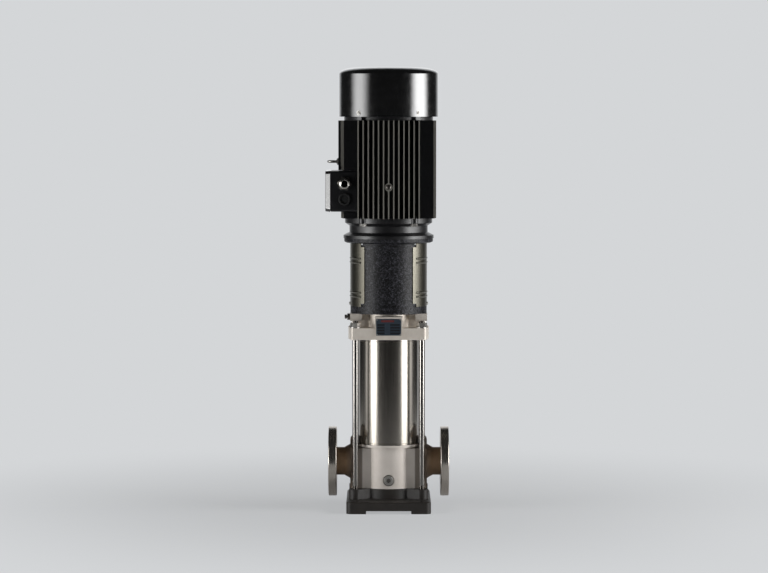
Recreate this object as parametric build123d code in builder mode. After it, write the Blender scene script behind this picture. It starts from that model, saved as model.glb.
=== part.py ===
"""Vertical multistage in-line pump with a flanged, fan-cooled electric motor.

Millimetres, +Z up along the shaft, origin on the floor under the shaft axis.
The suction port looks to -X, the discharge port to +X, and the nameplate to -Y.
From the floor up: base plate, casing, sleeve with four stages inside, pump head,
motor stool with the coupling, drive-end shield, finned motor frame and fan cowl.
"""

from math import atan2, cos, degrees, hypot, radians, sin, sqrt
import os

from build123d import *

os.makedirs("parts", exist_ok=True)

# ---------------------------------------------------------------- driving sizes
# Clearances shared by every fit of their kind.
thread_gap = 0.05  # between a bolt or pressed ring and its hole, on the radius
running_gap = 0.06  # between a shaft and the bush or bearing that carries it
seat_gap = 0.1  # between a spigot and its register, on the radius
bolt_play = 0.5  # round a bolt that passes freely through its hole
shaft_window = 2.0  # round a shaft that passes through a wall

# Base plate.
plate_width = 223.0
plate_depth = 298.0
plate_thickness = 23.0
plate_corner = 14.0
plate_chamfer = 2.0
foot_height = 8.0
foot_width = 52.0
foot_depth = 70.0
boss_radius = 74.0
boss_height = 26.0
lug_radius = 17.5
base_hole_x = 170.0
base_hole_y = 240.0
base_hole_radius = 7.0

# Stay bolts, which clamp the head and sleeve down on the casing.
rod_x = 88.0
rod_y = 66.0
rod_radius = 8.0
rod_depth = 30.0  # thread in the base plate's lugs
rod_end = 5.0  # thread that stands out over its nut
nut_width = 24.0
nut_height = 14.0

# Casing with its two in-line ports.
casing_height = 116.0
barrel_radius = 70.0
barrel_bore = 60.0
barrel_floor = 21.0
lobe_reach = 102.0
lobe_depth = 104.0
lobe_corner = 16.0
lobe_top = 10.0  # how far below the sleeve the lobes end
ear_thickness = 17.0
ear_width = 44.0
ear_height = 19.0  # above the sleeve's lower end
rim_radius = 82.0
rim_height = 6.0
spigot_height = 6.0
spigot_wall = 5.0
port_rise = 68.0  # port axis above the casing's foot
port_bore = 32.5
neck_radius = 37.0
neck_flare = 9.0
flare_length = 16.0
port_face = 160.0  # port face from the shaft axis
inlet_radius = 48.0
inlet_wall = 4.0
drain_reach = 9.0  # of the drain thread past the casing's wall
spigot_step = 1.0  # of the casing's bore under the sleeve

# Pipe flanges.
flange_radius = 92.5
flange_thickness = 22.0
flange_bolt_circle = 72.5
flange_hole_radius = 9.0
flange_holes = 4
flange_chamfer = 1.5

# Drain plug.
drain_rise = 23.0
drain_radius = 10.0
drain_boss_radius = 17.0
drain_boss_face = 71.0
drain_head_radius = 15.0
drain_head = 6.0

# Sleeve and stages.
sleeve_radius = 80.0
sleeve_wall = 2.5
stage_pitch = 70.0
stage_count = 4
stack_drop = 1.0  # top of the stage stack under the sleeve's end
chamber_radius = 66.0
chamber_wall = 2.0
chamber_floor = 4.0
eye_radius = 27.5
vane_count = 6
vane_thickness = 2.0
vane_height = 24.0
vane_root = 30.0
vane_sweep = 40.0
impeller_radius = 56.0
impeller_rise = 26.0  # shroud above the chamber's floor
impeller_shroud = 3.0
impeller_hub_radius = 17.0
impeller_hub = 18.0
blade_count = 6
blade_height = 14.0
blade_thickness = 2.5
blade_root = 16.5
blade_sweep = -55.0

# Pump head.
head_height = 68.0
head_flange_thickness = 31.0
head_half_width = 98.0
head_bulge = 107.0
head_half_depth = 82.0
head_corner = 6.0
head_bore = 34.0
head_cavity = 70.0
head_cavity_depth = 18.0
head_rib = 8.0
head_ribs = 4
drum_radius = 63.0
pad_inner = 71.0
pad_half_depth = 56.0
pad_height = 19.0
web_half_width = 34.0
plate_boss_width = 73.0
plate_boss_height = 54.0
plate_boss_face = 84.0
plate_boss_rise = 7.0
nameplate_width = 66.0
nameplate_height = 44.0
nameplate_thickness = 1.0

# Vent plug with its spindle, on the suction side of the head.
vent_drop = 11.0  # below the head's top face
vent_radius = 7.0
vent_depth = 14.0
vent_hex = 17.0
vent_head = 8.0
spindle_radius = 3.0
spindle_length = 14.0
spindle_knob_radius = 5.5
spindle_knob = 6.0

# Pump shaft, bushes and shaft seal.
shaft_radius = 11.0
bush_radius = 16.0
bush_height = 20.0
shaft_foot = 5.0  # shaft below the lower bush's middle
seal_cover_radius = 50.0
seal_cover_thickness = 9.0
seal_seat_radius = 20.0
seal_height = 22.0

# Motor stool and coupling guards.
stool_height = 199.0
stool_ring_radius = 103.0
stool_ring_height = 19.0
stool_ring_bore = 58.0
stool_flange_radius = 118.0
stool_flange_thickness = 12.0
stool_flange_taper = 6.0
stool_flange_bore = 66.0
column_radius = 100.0
column_wall = 13.0
column_half_width = 69.0
guard_lug_half_width = 11.0
guard_lug_height = 20.0
stool_bolt_x = 84.0
stool_bolt_y = 36.0
stool_bolt_radius = 6.0
stool_bolt_reach = 16.0
stool_bolt_hex = 18.0
guard_radius = 103.0
guard_sheet = 1.5
guard_edge_x = 74.0
guard_lip_x = 65.0
guard_lip_inset = 9.0
guard_play = 1.0  # between a guard and the flange over it

# Coupling.
coupling_radius = 34.0
coupling_length = 90.0
coupling_gap = 2.0
coupling_screw_radius = 5.0
coupling_screw_x = 26.0
coupling_screw_pitch = 52.0
coupling_screw_length = 38.0

# Motor.
motor_flange_radius = 120.0
motor_flange_thickness = 8.0
motor_neck_radius = 104.0
shield_height = 54.0
shield_rim_radius = 116.0
shield_rim_height = 13.0
shield_rim_flare = 8.0
flange_bolt_radius = 5.0
flange_bolt_x = 60.0
flange_bolt_y = 48.0
flange_bolt_length = 20.0
shield_bolt_x = 68.0
shield_bolt_y = 92.0
shield_bolt_radius = 5.0
shield_bolt_depth = 20.0
hex_head_height = 8.0
motor_hex = 16.0
hex_pocket_radius = 10.5
hex_pocket = 12.0
shield_ear_radius = 10.0
frame_length = 258.0
barrel_root = 106.0
stator_radius = 95.0
stator_bore = 62.3
stator_length = 150.0
stator_lift = 52.0
winding_outer = 90.0
winding_inner = 68.0
winding_height = 26.0
rotor_radius = 61.8
fin_pitch = 13.35
fins_per_side = 13
fin_thickness = 3.4
fin_reach = 126.5
fin_corner_reach = 120.0
eye_pad_face = 133.0
eye_pad_half_width = 36.0
motor_shaft_radius = 20.0
shaft_end_radius = 19.0  # in the coupling
fan_seat_radius = 16.0
fan_seat_drop = 14.0  # fan seat below the rear shield's face
shaft_tip = 3.0  # shaft over the fan's hub
bearing_radius = 40.0
bearing_width = 18.0
bearing_race = 6.0
bearing_lip = 6.0  # front bearing below the shield's face
rear_bearing_lip = 2.0
hub_wall = 8.0
hub_foot = 14.0
rear_rim_radius = 118.0
rear_rim_height = 10.0
rear_boss_radius = 48.0
cowl_lug_width = 16.0
cowl_lug_height = 20.0
cowl_lug_angle = 36.5
cowl_lug_inner = 112.0

# Fan and cowl.
cowl_radius = 132.0
cowl_height = 130.0
cowl_sheet = 2.0
crown_width = 50.0
crown_height = 17.5
crown_steps = 3
grille_slots = 16
grille_slot_width = 5.0
grille_inner = 22.0
grille_outer = 76.0
fan_radius = 112.0
fan_hub_radius = 30.0
fan_hub_height = 30.0
fan_lift = 26.0
fan_blades = 7
fan_blade_thickness = 4.0
fan_blade_height = 45.0

# Terminal box on the suction side of the motor.
box_rise = 18.0  # above the drive-end shield
box_height = 107.0
box_half_width = 88.0
box_face = 152.0
box_inner_edge = 84.0
box_wall = 4.0
box_floor = 112.0
box_corner = 6.0
box_clearance = 2.0  # between the box and the fins round it
lid_thickness = 15.0
lid_overhang = 1.0
gasket_thickness = 1.5
board_height = 60.0
board_width = 110.0
board_thickness = 12.0
gland_x = 116.0
gland_rise = 74.0
gland_hex = 33.0
gland_hex_length = 8.0
gland_radius = 16.5
gland_shoulder = 4.0
gland_bore = 9.0
gland_length = 20.0
blank_rise = 33.0
blank_radius = 16.5
blank_length = 7.0
thread_length = 8.0
lid_rim = 6.0
lid_corner = 12.0
lid_round = 8.0

# Eyebolt and earth screw.
eye_rise = 24.0  # above the terminal box
eye_ring_radius = 9.5
eye_bar = 7.0
eye_neck_radius = 3.0  # under half of the bar, so the ring swallows its end
eye_collar_radius = 9.0
eye_collar = 4.0
eye_shank_radius = 4.0
eye_shank = 18.0
earth_z_rise = 83.0
earth_boss_radius = 10.5
earth_screw_radius = 4.0
earth_head_radius = 7.5
earth_screw_length = 12.0

# ------------------------------------------------- heights along the shaft axis
plate_top = foot_height + plate_thickness
casing_z = plate_top + boss_height
sleeve_z = casing_z + casing_height
stack_z = sleeve_z + stage_count * stage_pitch
head_z = stack_z + stack_drop
head_flange_z = head_z + head_flange_thickness
stool_z = head_z + head_height
motor_z = stool_z + stool_height
frame_z = motor_z + shield_height
rear_z = frame_z + frame_length
cowl_z = rear_z + rear_rim_height
top_z = cowl_z + cowl_height
port_z = casing_z + port_rise
floor_z = casing_z + barrel_floor
box_z = frame_z + box_rise
box_top = box_z + box_height


# ------------------------------------------------------------------ shared forms
def round_step(z, radius, height, mode=Mode.ADD):
    """Add or cut a round stretch on the shaft axis, from z upwards."""
    with BuildSketch(Plane.XY.offset(z)) as disc:
        Circle(radius)
    extrude(disc.sketch, amount=height, mode=mode)


def rod_stretch(spots, z, radius, height, mode=Mode.ADD):
    """Add or cut an upright round stretch at each (x, y) spot, from z upwards."""
    with BuildSketch(Plane.XY.offset(z)) as discs:
        with Locations(*spots):
            Circle(radius)
    extrude(discs.sketch, amount=height, mode=mode)


def hex_stretch(spots, z, across_flats, height, mode=Mode.ADD):
    """Add or cut an upright hexagon at each (x, y) spot, from z upwards."""
    with BuildSketch(Plane.XY.offset(z)) as hexes:
        with Locations(*spots):
            RegularPolygon(across_flats / 2, 6, major_radius=False)
    extrude(hexes.sketch, amount=height, mode=mode)


def corners(x, y):
    """The four (x, y) spots of a rectangle centred on the shaft axis."""
    return [(-x, -y), (x, -y), (x, y), (-x, y)]


def save(builder, name):
    """Label a finished piece and write it to its own file."""
    builder.part.label = name
    export_step(builder.part, f"parts/{name}.step")


# -------------------------------------------------------------------- base plate
rods = corners(rod_x, rod_y)
lug_angle = degrees(atan2(rod_y, rod_x))

with BuildPart() as base_plate:
    with BuildSketch(Plane.XY.offset(foot_height)):
        RectangleRounded(plate_width, plate_depth, plate_corner)
    extrude(amount=plate_thickness)
    chamfer(base_plate.faces().sort_by(Axis.Z)[-1].edges(), length=plate_chamfer)
    with BuildSketch(Plane.XY):
        RectangleRounded(plate_width, plate_depth, plate_corner)
        Rectangle(plate_width - 2 * foot_width, plate_depth, mode=Mode.SUBTRACT)
        Rectangle(plate_width, plate_depth - 2 * foot_depth, mode=Mode.SUBTRACT)
    extrude(amount=foot_height)
    # A round boss carries the casing, with a lug under each stay bolt.
    with BuildSketch(Plane.XY.offset(plate_top)):
        Circle(boss_radius)
        for angle in (lug_angle, -lug_angle):
            SlotCenterToCenter(2 * hypot(rod_x, rod_y), 2 * lug_radius, rotation=angle)
    extrude(amount=boss_height)
    rod_stretch(rods, casing_z - rod_depth, rod_radius + thread_gap, rod_depth, Mode.SUBTRACT)
    base_holes = corners(base_hole_x / 2, base_hole_y / 2)
    rod_stretch(base_holes, 0, base_hole_radius, plate_top, Mode.SUBTRACT)
save(base_plate, "base_plate")

# ------------------------------------------------------------------------ casing
with BuildPart() as pump_casing:
    round_step(casing_z, barrel_radius, casing_height)
    with BuildSketch(Plane.XY.offset(casing_z)):
        RectangleRounded(2 * lobe_reach, lobe_depth, lobe_corner)
    extrude(amount=casing_height - lobe_top)
    # An ear stands up beside the sleeve at the outer end of each lobe.
    with BuildSketch(Plane.XZ.offset(-ear_width / 2)):
        for side in (-1, 1):
            with Locations((side * (lobe_reach - ear_thickness / 2), sleeve_z)):
                SlotOverall(2 * ear_height, ear_thickness, rotation=90)
    extrude(amount=ear_width)
    # Rim and spigot that locate the sleeve.
    spigot_radius = sleeve_radius - sleeve_wall - seat_gap
    round_step(sleeve_z - rim_height, rim_radius, rim_height)
    round_step(sleeve_z, spigot_radius, spigot_height)
    # Necks, flared where they meet the lobes.
    for side in (-1, 1):
        with BuildSketch(Plane.XZ):
            with BuildLine():
                Polyline(
                    (side * barrel_bore, port_z),
                    (side * barrel_bore, port_z + neck_radius + neck_flare),
                    (side * lobe_reach, port_z + neck_radius + neck_flare),
                    (side * (lobe_reach + flare_length), port_z + neck_radius),
                    (side * port_face, port_z + neck_radius),
                    (side * port_face, port_z),
                    close=True,
                )
            make_face()
        revolve(axis=Axis((0, 0, port_z), (1, 0, 0)))
    # Discharge channel: one round well under the sleeve.
    round_step(floor_z, barrel_bore, casing_height - barrel_floor, Mode.SUBTRACT)
    spigot_foot = sleeve_z - spigot_step
    spigot_bore = spigot_radius - spigot_wall
    round_step(spigot_foot, spigot_bore, spigot_step + spigot_height, Mode.SUBTRACT)
    # Inlet chamber inside the well, joined to the suction neck.
    round_step(floor_z, inlet_radius, casing_height - barrel_floor)
    with BuildSketch(Plane.YZ.offset(-(barrel_bore + barrel_radius) / 2)):
        with Locations((0, port_z)):
            Circle(neck_radius)
    extrude(amount=barrel_bore)
    inlet_bore = inlet_radius - inlet_wall
    round_step(floor_z, inlet_bore, casing_height - barrel_floor, Mode.SUBTRACT)
    with BuildSketch(Plane.YZ.offset(-port_face)):
        with Locations((0, port_z)):
            Circle(port_bore)
    extrude(amount=port_face - inlet_bore / 2, mode=Mode.SUBTRACT)
    with BuildSketch(Plane.YZ.offset((inlet_radius + barrel_bore) / 2)):
        with Locations((0, port_z)):
            Circle(port_bore)
    extrude(amount=port_face, mode=Mode.SUBTRACT)
    # Drain boss and its threaded hole, low on the front.
    drain_z = casing_z + drain_rise
    with BuildSketch(Plane.XZ.offset(barrel_bore)):
        with Locations((0, drain_z)):
            Circle(drain_boss_radius)
    extrude(amount=drain_boss_face - barrel_bore)
    with BuildSketch(Plane.XZ.offset(barrel_bore - drain_reach)):
        with Locations((0, drain_z)):
            Circle(drain_radius + thread_gap)
    extrude(amount=barrel_radius, mode=Mode.SUBTRACT)
    # Seat of the shaft's lower bush, in the floor.
    lower_bush_z = floor_z - bush_height / 2
    round_step(lower_bush_z, bush_radius + thread_gap, bush_height, Mode.SUBTRACT)
save(pump_casing, "pump_casing")

with BuildPart() as drain_plug:
    with BuildSketch(Plane.XZ.offset(drain_boss_face)):
        with Locations((0, drain_z)):
            Circle(drain_head_radius)
    extrude(amount=drain_head)
    with BuildSketch(Plane.XZ.offset(barrel_bore)):
        with Locations((0, drain_z)):
            Circle(drain_radius)
    extrude(amount=drain_boss_face - barrel_bore)
save(drain_plug, "drain_plug")

# ------------------------------------------------------------------ pipe flanges
for side, flange_name in ((-1, "suction_flange"), (1, "discharge_flange")):
    inner_face = Plane((side * (port_face - flange_thickness), 0, port_z), z_dir=(side, 0, 0))
    with BuildPart() as pipe_flange:
        with BuildSketch(inner_face):
            Circle(flange_radius)
            Circle(neck_radius + thread_gap, mode=Mode.SUBTRACT)
            with PolarLocations(flange_bolt_circle, flange_holes, 180 / flange_holes):
                Circle(flange_hole_radius, mode=Mode.SUBTRACT)
        extrude(amount=flange_thickness)
        rims = pipe_flange.edges().filter_by(GeomType.CIRCLE).sort_by(SortBy.RADIUS)[-2:]
        chamfer(rims, length=flange_chamfer)
    save(pipe_flange, flange_name)

# ------------------------------------------------------------------------ sleeve
with BuildPart() as outer_sleeve:
    round_step(sleeve_z, sleeve_radius, head_z - sleeve_z)
    round_step(sleeve_z, sleeve_radius - sleeve_wall, head_z - sleeve_z, Mode.SUBTRACT)
save(outer_sleeve, "outer_sleeve")

# -------------------------------------------------------------------- stay bolts
rod_top = head_flange_z + nut_height + rod_end
with BuildPart() as stay_bolts:
    rod_stretch(rods, casing_z - rod_depth, rod_radius, rod_top - casing_z + rod_depth)
save(stay_bolts, "stay_bolts")

with BuildPart() as stay_bolt_nuts:
    hex_stretch(rods, head_flange_z, nut_width, nut_height)
    rod_stretch(rods, head_flange_z, rod_radius + thread_gap, nut_height, Mode.SUBTRACT)
save(stay_bolt_nuts, "stay_bolt_nuts")

# --------------------------------------------------------------------- pump head
pad_centre = (pad_inner + lobe_reach) / 2
pad_width = lobe_reach - pad_inner
vent_z = stool_z - vent_drop
plate_z = head_z + plate_boss_rise + plate_boss_height / 2
seal_z = stool_z - seal_height

with BuildPart() as pump_head:
    with BuildSketch(Plane.XY.offset(head_z)):
        with BuildLine():
            Line((-head_half_width, -head_half_depth), (head_half_width, -head_half_depth))
            ThreePointArc(
                (head_half_width, -head_half_depth),
                (head_bulge, 0),
                (head_half_width, head_half_depth),
            )
            Line((head_half_width, head_half_depth), (-head_half_width, head_half_depth))
            ThreePointArc(
                (-head_half_width, head_half_depth),
                (-head_bulge, 0),
                (-head_half_width, -head_half_depth),
            )
        make_face()
    extrude(amount=head_flange_thickness)
    fillet(pump_head.edges().filter_by(Axis.Z), radius=head_corner)
    # Drum in the middle, and a pad at each side that the stool stands on.
    round_step(head_flange_z, drum_radius, stool_z - head_flange_z)
    with BuildSketch(Plane.XY.offset(stool_z - pad_height)):
        with Locations((-pad_centre, 0), (pad_centre, 0)):
            Rectangle(pad_width, 2 * pad_half_depth)
    extrude(amount=pad_height)
    with BuildSketch(Plane.XY.offset(head_flange_z)):
        Rectangle(2 * pad_centre, 2 * web_half_width)
    extrude(amount=stool_z - head_flange_z)
    # Flat boss that carries the nameplate.
    with BuildSketch(Plane.XZ.offset(drum_radius - head_cavity_depth)):
        with Locations((0, plate_z)):
            Rectangle(plate_boss_width, plate_boss_height)
    extrude(amount=plate_boss_face - drum_radius + head_cavity_depth)
    # Return channel over the last stage, spigot for the sleeve, and seal bore.
    round_step(head_z - spigot_height, spigot_radius, spigot_height)
    cavity_top = head_z + head_cavity_depth
    cavity_foot = head_z - spigot_height
    round_step(cavity_foot, head_cavity, cavity_top - cavity_foot, Mode.SUBTRACT)
    # Ribs across the channel hold the stage stack down.
    with BuildSketch(Plane.XY.offset(stack_z)):
        for number in range(head_ribs):
            Rectangle(2 * head_cavity, head_rib, rotation=number * 180 / head_ribs)
        Circle(head_bore, mode=Mode.SUBTRACT)
    extrude(amount=cavity_top - stack_z)
    round_step(seal_z, head_bore, seal_height, Mode.SUBTRACT)
    round_step(head_z, bush_radius + thread_gap, head_height, Mode.SUBTRACT)
    rod_stretch(rods, head_z, rod_radius + bolt_play, head_flange_thickness, Mode.SUBTRACT)
    # Vent hole, and the threads of the stool's bolts.
    with BuildSketch(Plane.YZ.offset(-lobe_reach)):
        with Locations((0, vent_z)):
            Circle(vent_radius + thread_gap)
    extrude(amount=vent_depth, mode=Mode.SUBTRACT)
    stool_spots = corners(stool_bolt_x, stool_bolt_y)
    rod_stretch(
        stool_spots,
        stool_z - stool_bolt_reach,
        stool_bolt_radius + thread_gap,
        stool_bolt_reach,
        Mode.SUBTRACT,
    )
save(pump_head, "pump_head")

with BuildPart() as nameplate:
    with BuildSketch(Plane.XZ.offset(plate_boss_face)):
        with Locations((0, plate_z)):
            Rectangle(nameplate_width, nameplate_height)
    extrude(amount=nameplate_thickness)
save(nameplate, "nameplate")


# ---------------------------------------------------------- stages and impellers
def curved_vane(root, tip, thickness, sweep):
    """Draw one vane that curves back from the root radius to the tip radius."""
    middle = (root + tip) / 2
    with BuildLine() as centre:
        ThreePointArc(
            (root, 0),
            (middle * cos(radians(sweep * 0.3)), middle * sin(radians(sweep * 0.3))),
            (tip * cos(radians(sweep)), tip * sin(radians(sweep))),
        )
    trace(centre.line, line_width=thickness)


stages = [sleeve_z + stage * stage_pitch for stage in range(stage_count)]
chamber_bore = chamber_radius - chamber_wall

for number, stage_z in enumerate(stages, start=1):
    with BuildPart() as stage_chamber:
        round_step(stage_z, chamber_radius, stage_pitch)
        round_step(stage_z + chamber_floor, chamber_bore, stage_pitch, Mode.SUBTRACT)
        round_step(stage_z, eye_radius, chamber_floor, Mode.SUBTRACT)
        # Return vanes lead the water inward over the impeller.
        vane_z = stage_z + stage_pitch - vane_height
        with BuildSketch(Plane.XY.offset(vane_z), mode=Mode.PRIVATE) as vane:
            curved_vane(vane_root, chamber_bore + chamber_wall / 4, vane_thickness, vane_sweep)
        for turn in range(vane_count):
            turned = vane.sketch.rotate(Axis.Z, turn * 360 / vane_count)
            extrude(turned, amount=vane_height, dir=(0, 0, 1))
    save(stage_chamber, f"stage_chamber_{number}")

for number, stage_z in enumerate(stages, start=1):
    shroud_z = stage_z + impeller_rise
    hub_z = shroud_z + impeller_shroud - impeller_hub
    with BuildPart() as impeller:
        round_step(shroud_z, impeller_radius, impeller_shroud)
        round_step(hub_z, impeller_hub_radius, impeller_hub)
        blade_z = shroud_z - blade_height
        with BuildSketch(Plane.XY.offset(blade_z), mode=Mode.PRIVATE) as blade:
            curved_vane(blade_root, impeller_radius - 1, blade_thickness, blade_sweep)
        for turn in range(blade_count):
            turned = blade.sketch.rotate(Axis.Z, turn * 360 / blade_count)
            extrude(turned, amount=blade_height, dir=(0, 0, 1))
        bore = shaft_radius + thread_gap
        round_step(hub_z, bore, impeller_hub, Mode.SUBTRACT)
    save(impeller, f"impeller_{number}")

# ------------------------------------------------------- pump shaft, bushes, seal
coupling_z = (stool_z + motor_z - coupling_length) / 2
coupling_middle = coupling_z + coupling_length / 2
shaft_end = floor_z - shaft_foot

with BuildPart() as pump_shaft:
    round_step(shaft_end, shaft_radius, coupling_middle - coupling_gap / 2 - shaft_end)
save(pump_shaft, "pump_shaft")

with BuildPart() as shaft_bushes:
    for bush_z in (lower_bush_z, seal_z - bush_height):
        round_step(bush_z, bush_radius, bush_height)
        round_step(bush_z, shaft_radius + running_gap, bush_height, Mode.SUBTRACT)
save(shaft_bushes, "shaft_bushes")

with BuildPart() as seal_seat:
    round_step(seal_z, head_bore - seat_gap, seal_height / 2)
    round_step(seal_z, shaft_radius + shaft_window, seal_height / 2, Mode.SUBTRACT)
save(seal_seat, "seal_seat")

with BuildPart() as seal_ring:
    round_step(seal_z + seal_height / 2 + running_gap, seal_seat_radius, seal_height / 2)
    round_step(seal_z, shaft_radius + thread_gap, 2 * seal_height, Mode.SUBTRACT)
save(seal_ring, "seal_ring")

cover_z = stool_z + seal_height / 4
with BuildPart() as seal_cover:
    round_step(stool_z, seal_cover_radius, seal_cover_thickness)
    round_step(stool_z, seal_seat_radius + shaft_window, cover_z - stool_z, Mode.SUBTRACT)
    round_step(stool_z, shaft_radius + shaft_window, seal_cover_thickness, Mode.SUBTRACT)
save(seal_cover, "seal_cover")

# ------------------------------------------------------------------- motor stool
stool_flange_z = motor_z - stool_flange_thickness
column_bore = column_radius - column_wall

with BuildPart() as motor_stool:
    with BuildSketch(Plane.XY.offset(stool_z)):
        Circle(stool_ring_radius - guard_sheet)
        Circle(stool_ring_bore, mode=Mode.SUBTRACT)
    extrude(amount=stool_ring_height)
    # Front and rear columns.
    with BuildSketch(Plane.XY.offset(stool_z + stool_ring_height)):
        Circle(column_radius)
        Circle(column_bore, mode=Mode.SUBTRACT)
        Rectangle(2 * column_half_width, 2 * column_radius, mode=Mode.INTERSECT)
    extrude(amount=stool_flange_z - stool_z - stool_ring_height)
    # Round top flange that carries the motor, tapered underneath.
    with BuildSketch(Plane.XZ):
        with BuildLine():
            taper_radius = stool_flange_radius - stool_flange_taper
            Polyline(
                (stool_flange_bore, motor_z),
                (stool_flange_bore, stool_flange_z),
                (taper_radius, stool_flange_z),
                (stool_flange_radius, stool_flange_z + stool_flange_taper / 2),
                (stool_flange_radius, motor_z),
                close=True,
            )
        make_face()
    revolve(axis=Axis.Z)
    # Lugs that the guards' screws go into.
    with BuildSketch(Plane.XY.offset(stool_z + stool_ring_height)):
        Circle(stool_ring_radius - guard_sheet)
        Circle(column_bore, mode=Mode.SUBTRACT)
        Rectangle(2 * stool_ring_radius, 2 * guard_lug_half_width, mode=Mode.INTERSECT)
    extrude(amount=guard_lug_height)
    bolt_hole = stool_bolt_radius + thread_gap
    rod_stretch(stool_spots, stool_z, bolt_hole, stool_ring_height, Mode.SUBTRACT)
    flange_spots = corners(flange_bolt_x, flange_bolt_y)
    bolt_hole = flange_bolt_radius + thread_gap
    rod_stretch(flange_spots, stool_flange_z, bolt_hole, stool_flange_thickness, Mode.SUBTRACT)
save(motor_stool, "motor_stool")

with BuildPart() as stool_bolts:
    bolt_z = stool_z + stool_ring_height
    hex_stretch(stool_spots, bolt_z, stool_bolt_hex, hex_head_height)
    rod_stretch(
        stool_spots,
        stool_z - stool_bolt_reach,
        stool_bolt_radius,
        bolt_z - stool_z + stool_bolt_reach,
    )
save(stool_bolts, "stool_bolts")

# Half-round guards with a lip at each edge that laps the stool's columns.
guard_z = stool_z + stool_ring_height
guard_height = stool_flange_z - guard_z - guard_play

for side, guard_name in ((-1, "coupling_guard_left"), (1, "coupling_guard_right")):
    with BuildPart() as guard:
        for edge_x, inset in ((guard_edge_x, 0.0), (guard_lip_x, guard_lip_inset)):
            width = guard_radius - edge_x
            with BuildSketch(Plane.XY.offset(guard_z + inset)):
                Circle(guard_radius)
                Circle(guard_radius - guard_sheet, mode=Mode.SUBTRACT)
                with Locations((side * (edge_x + width / 2), 0)):
                    Rectangle(width, 2 * guard_radius, mode=Mode.INTERSECT)
            extrude(amount=guard_height - 2 * inset)
    save(guard, guard_name)

# ---------------------------------------------------------------------- coupling
screw_spots = [
    (x, coupling_middle + z)
    for x in (-coupling_screw_x, coupling_screw_x)
    for z in (-coupling_screw_pitch / 2, coupling_screw_pitch / 2)
]

for side, half_name in ((-1, "coupling_half_front"), (1, "coupling_half_rear")):
    with BuildPart() as coupling_half:
        with BuildSketch(Plane.XY.offset(coupling_z)):
            Circle(coupling_radius)
            Circle(shaft_radius + thread_gap, mode=Mode.SUBTRACT)
            half = coupling_radius - coupling_gap / 2
            with Locations((0, side * (coupling_gap / 2 + half / 2))):
                Rectangle(2 * coupling_radius, half, mode=Mode.INTERSECT)
        extrude(amount=coupling_length)
        # The motor's larger shaft fills the upper half.
        bore = shaft_end_radius + thread_gap
        round_step(coupling_middle, bore, coupling_length, Mode.SUBTRACT)
        with BuildSketch(Plane.XZ.offset(-coupling_radius)):
            with Locations(*screw_spots):
                Circle(coupling_screw_radius + thread_gap)
        extrude(amount=2 * coupling_radius, mode=Mode.SUBTRACT)
    save(coupling_half, half_name)

with BuildPart() as coupling_screws:
    with BuildSketch(Plane.XZ.offset(-coupling_screw_length / 2)):
        with Locations(*screw_spots):
            Circle(coupling_screw_radius)
    extrude(amount=coupling_screw_length)
save(coupling_screws, "coupling_screws")

# -------------------------------------------------------------- drive-end shield
bearing_z = frame_z - bearing_width - bearing_lip

with BuildPart() as drive_end_shield:
    with BuildSketch(Plane.XZ):
        with BuildLine():
            Polyline(
                (motor_shaft_radius + shaft_window, motor_z),
                (motor_flange_radius, motor_z),
                (motor_flange_radius, motor_z + motor_flange_thickness),
                (motor_neck_radius, motor_z + 2 * motor_flange_thickness),
                (motor_neck_radius, frame_z - shield_rim_height - shield_rim_flare),
                (shield_rim_radius, frame_z - shield_rim_height),
                (shield_rim_radius, frame_z),
                (stator_radius, frame_z),
                (bearing_radius + hub_foot, bearing_z + bearing_width / 2),
                (bearing_radius + hub_wall, bearing_z + bearing_width),
                (bearing_radius, bearing_z + bearing_width),
                (bearing_radius, bearing_z),
                (motor_shaft_radius + shaft_window, bearing_z),
                close=True,
            )
        make_face()
    revolve(axis=Axis.Z)
    bolt_hole = flange_bolt_radius + thread_gap
    rod_stretch(flange_spots, motor_z, bolt_hole, flange_bolt_length, Mode.SUBTRACT)
    # Pockets under the rim for the bolt heads, and an ear round each bolt.
    shield_spots = corners(shield_bolt_x, shield_bolt_y)
    rim_z = frame_z - shield_rim_height
    rod_stretch(shield_spots, rim_z - hex_pocket, hex_pocket_radius, hex_pocket, Mode.SUBTRACT)
    rod_stretch(shield_spots, rim_z, shield_ear_radius, shield_rim_height)
    bolt_hole = shield_bolt_radius + thread_gap
    rod_stretch(shield_spots, rim_z, bolt_hole, shield_rim_height, Mode.SUBTRACT)
save(drive_end_shield, "drive_end_shield")

with BuildPart() as motor_flange_bolts:
    bolt_length = stool_flange_thickness + flange_bolt_length
    hex_stretch(flange_spots, stool_flange_z - hex_head_height, motor_hex, hex_head_height)
    rod_stretch(flange_spots, stool_flange_z, flange_bolt_radius, bolt_length)
save(motor_flange_bolts, "motor_flange_bolts")

with BuildPart() as shield_bolts:
    bolt_length = shield_rim_height + shield_bolt_depth
    hex_stretch(shield_spots, rim_z - hex_head_height, motor_hex, hex_head_height)
    rod_stretch(shield_spots, rim_z, shield_bolt_radius, bolt_length)
save(shield_bolts, "shield_bolts")

# ------------------------------------------------------------------- motor frame
fin_span = (fins_per_side - 1) * fin_pitch / 2
# The fins' tips lie on a wide arc through the middle and the end fins.
fin_drop = fin_reach - fin_corner_reach
fin_arc = (fin_span**2 + fin_drop**2) / (2 * fin_drop)
earth_z = frame_z + earth_z_rise

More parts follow.
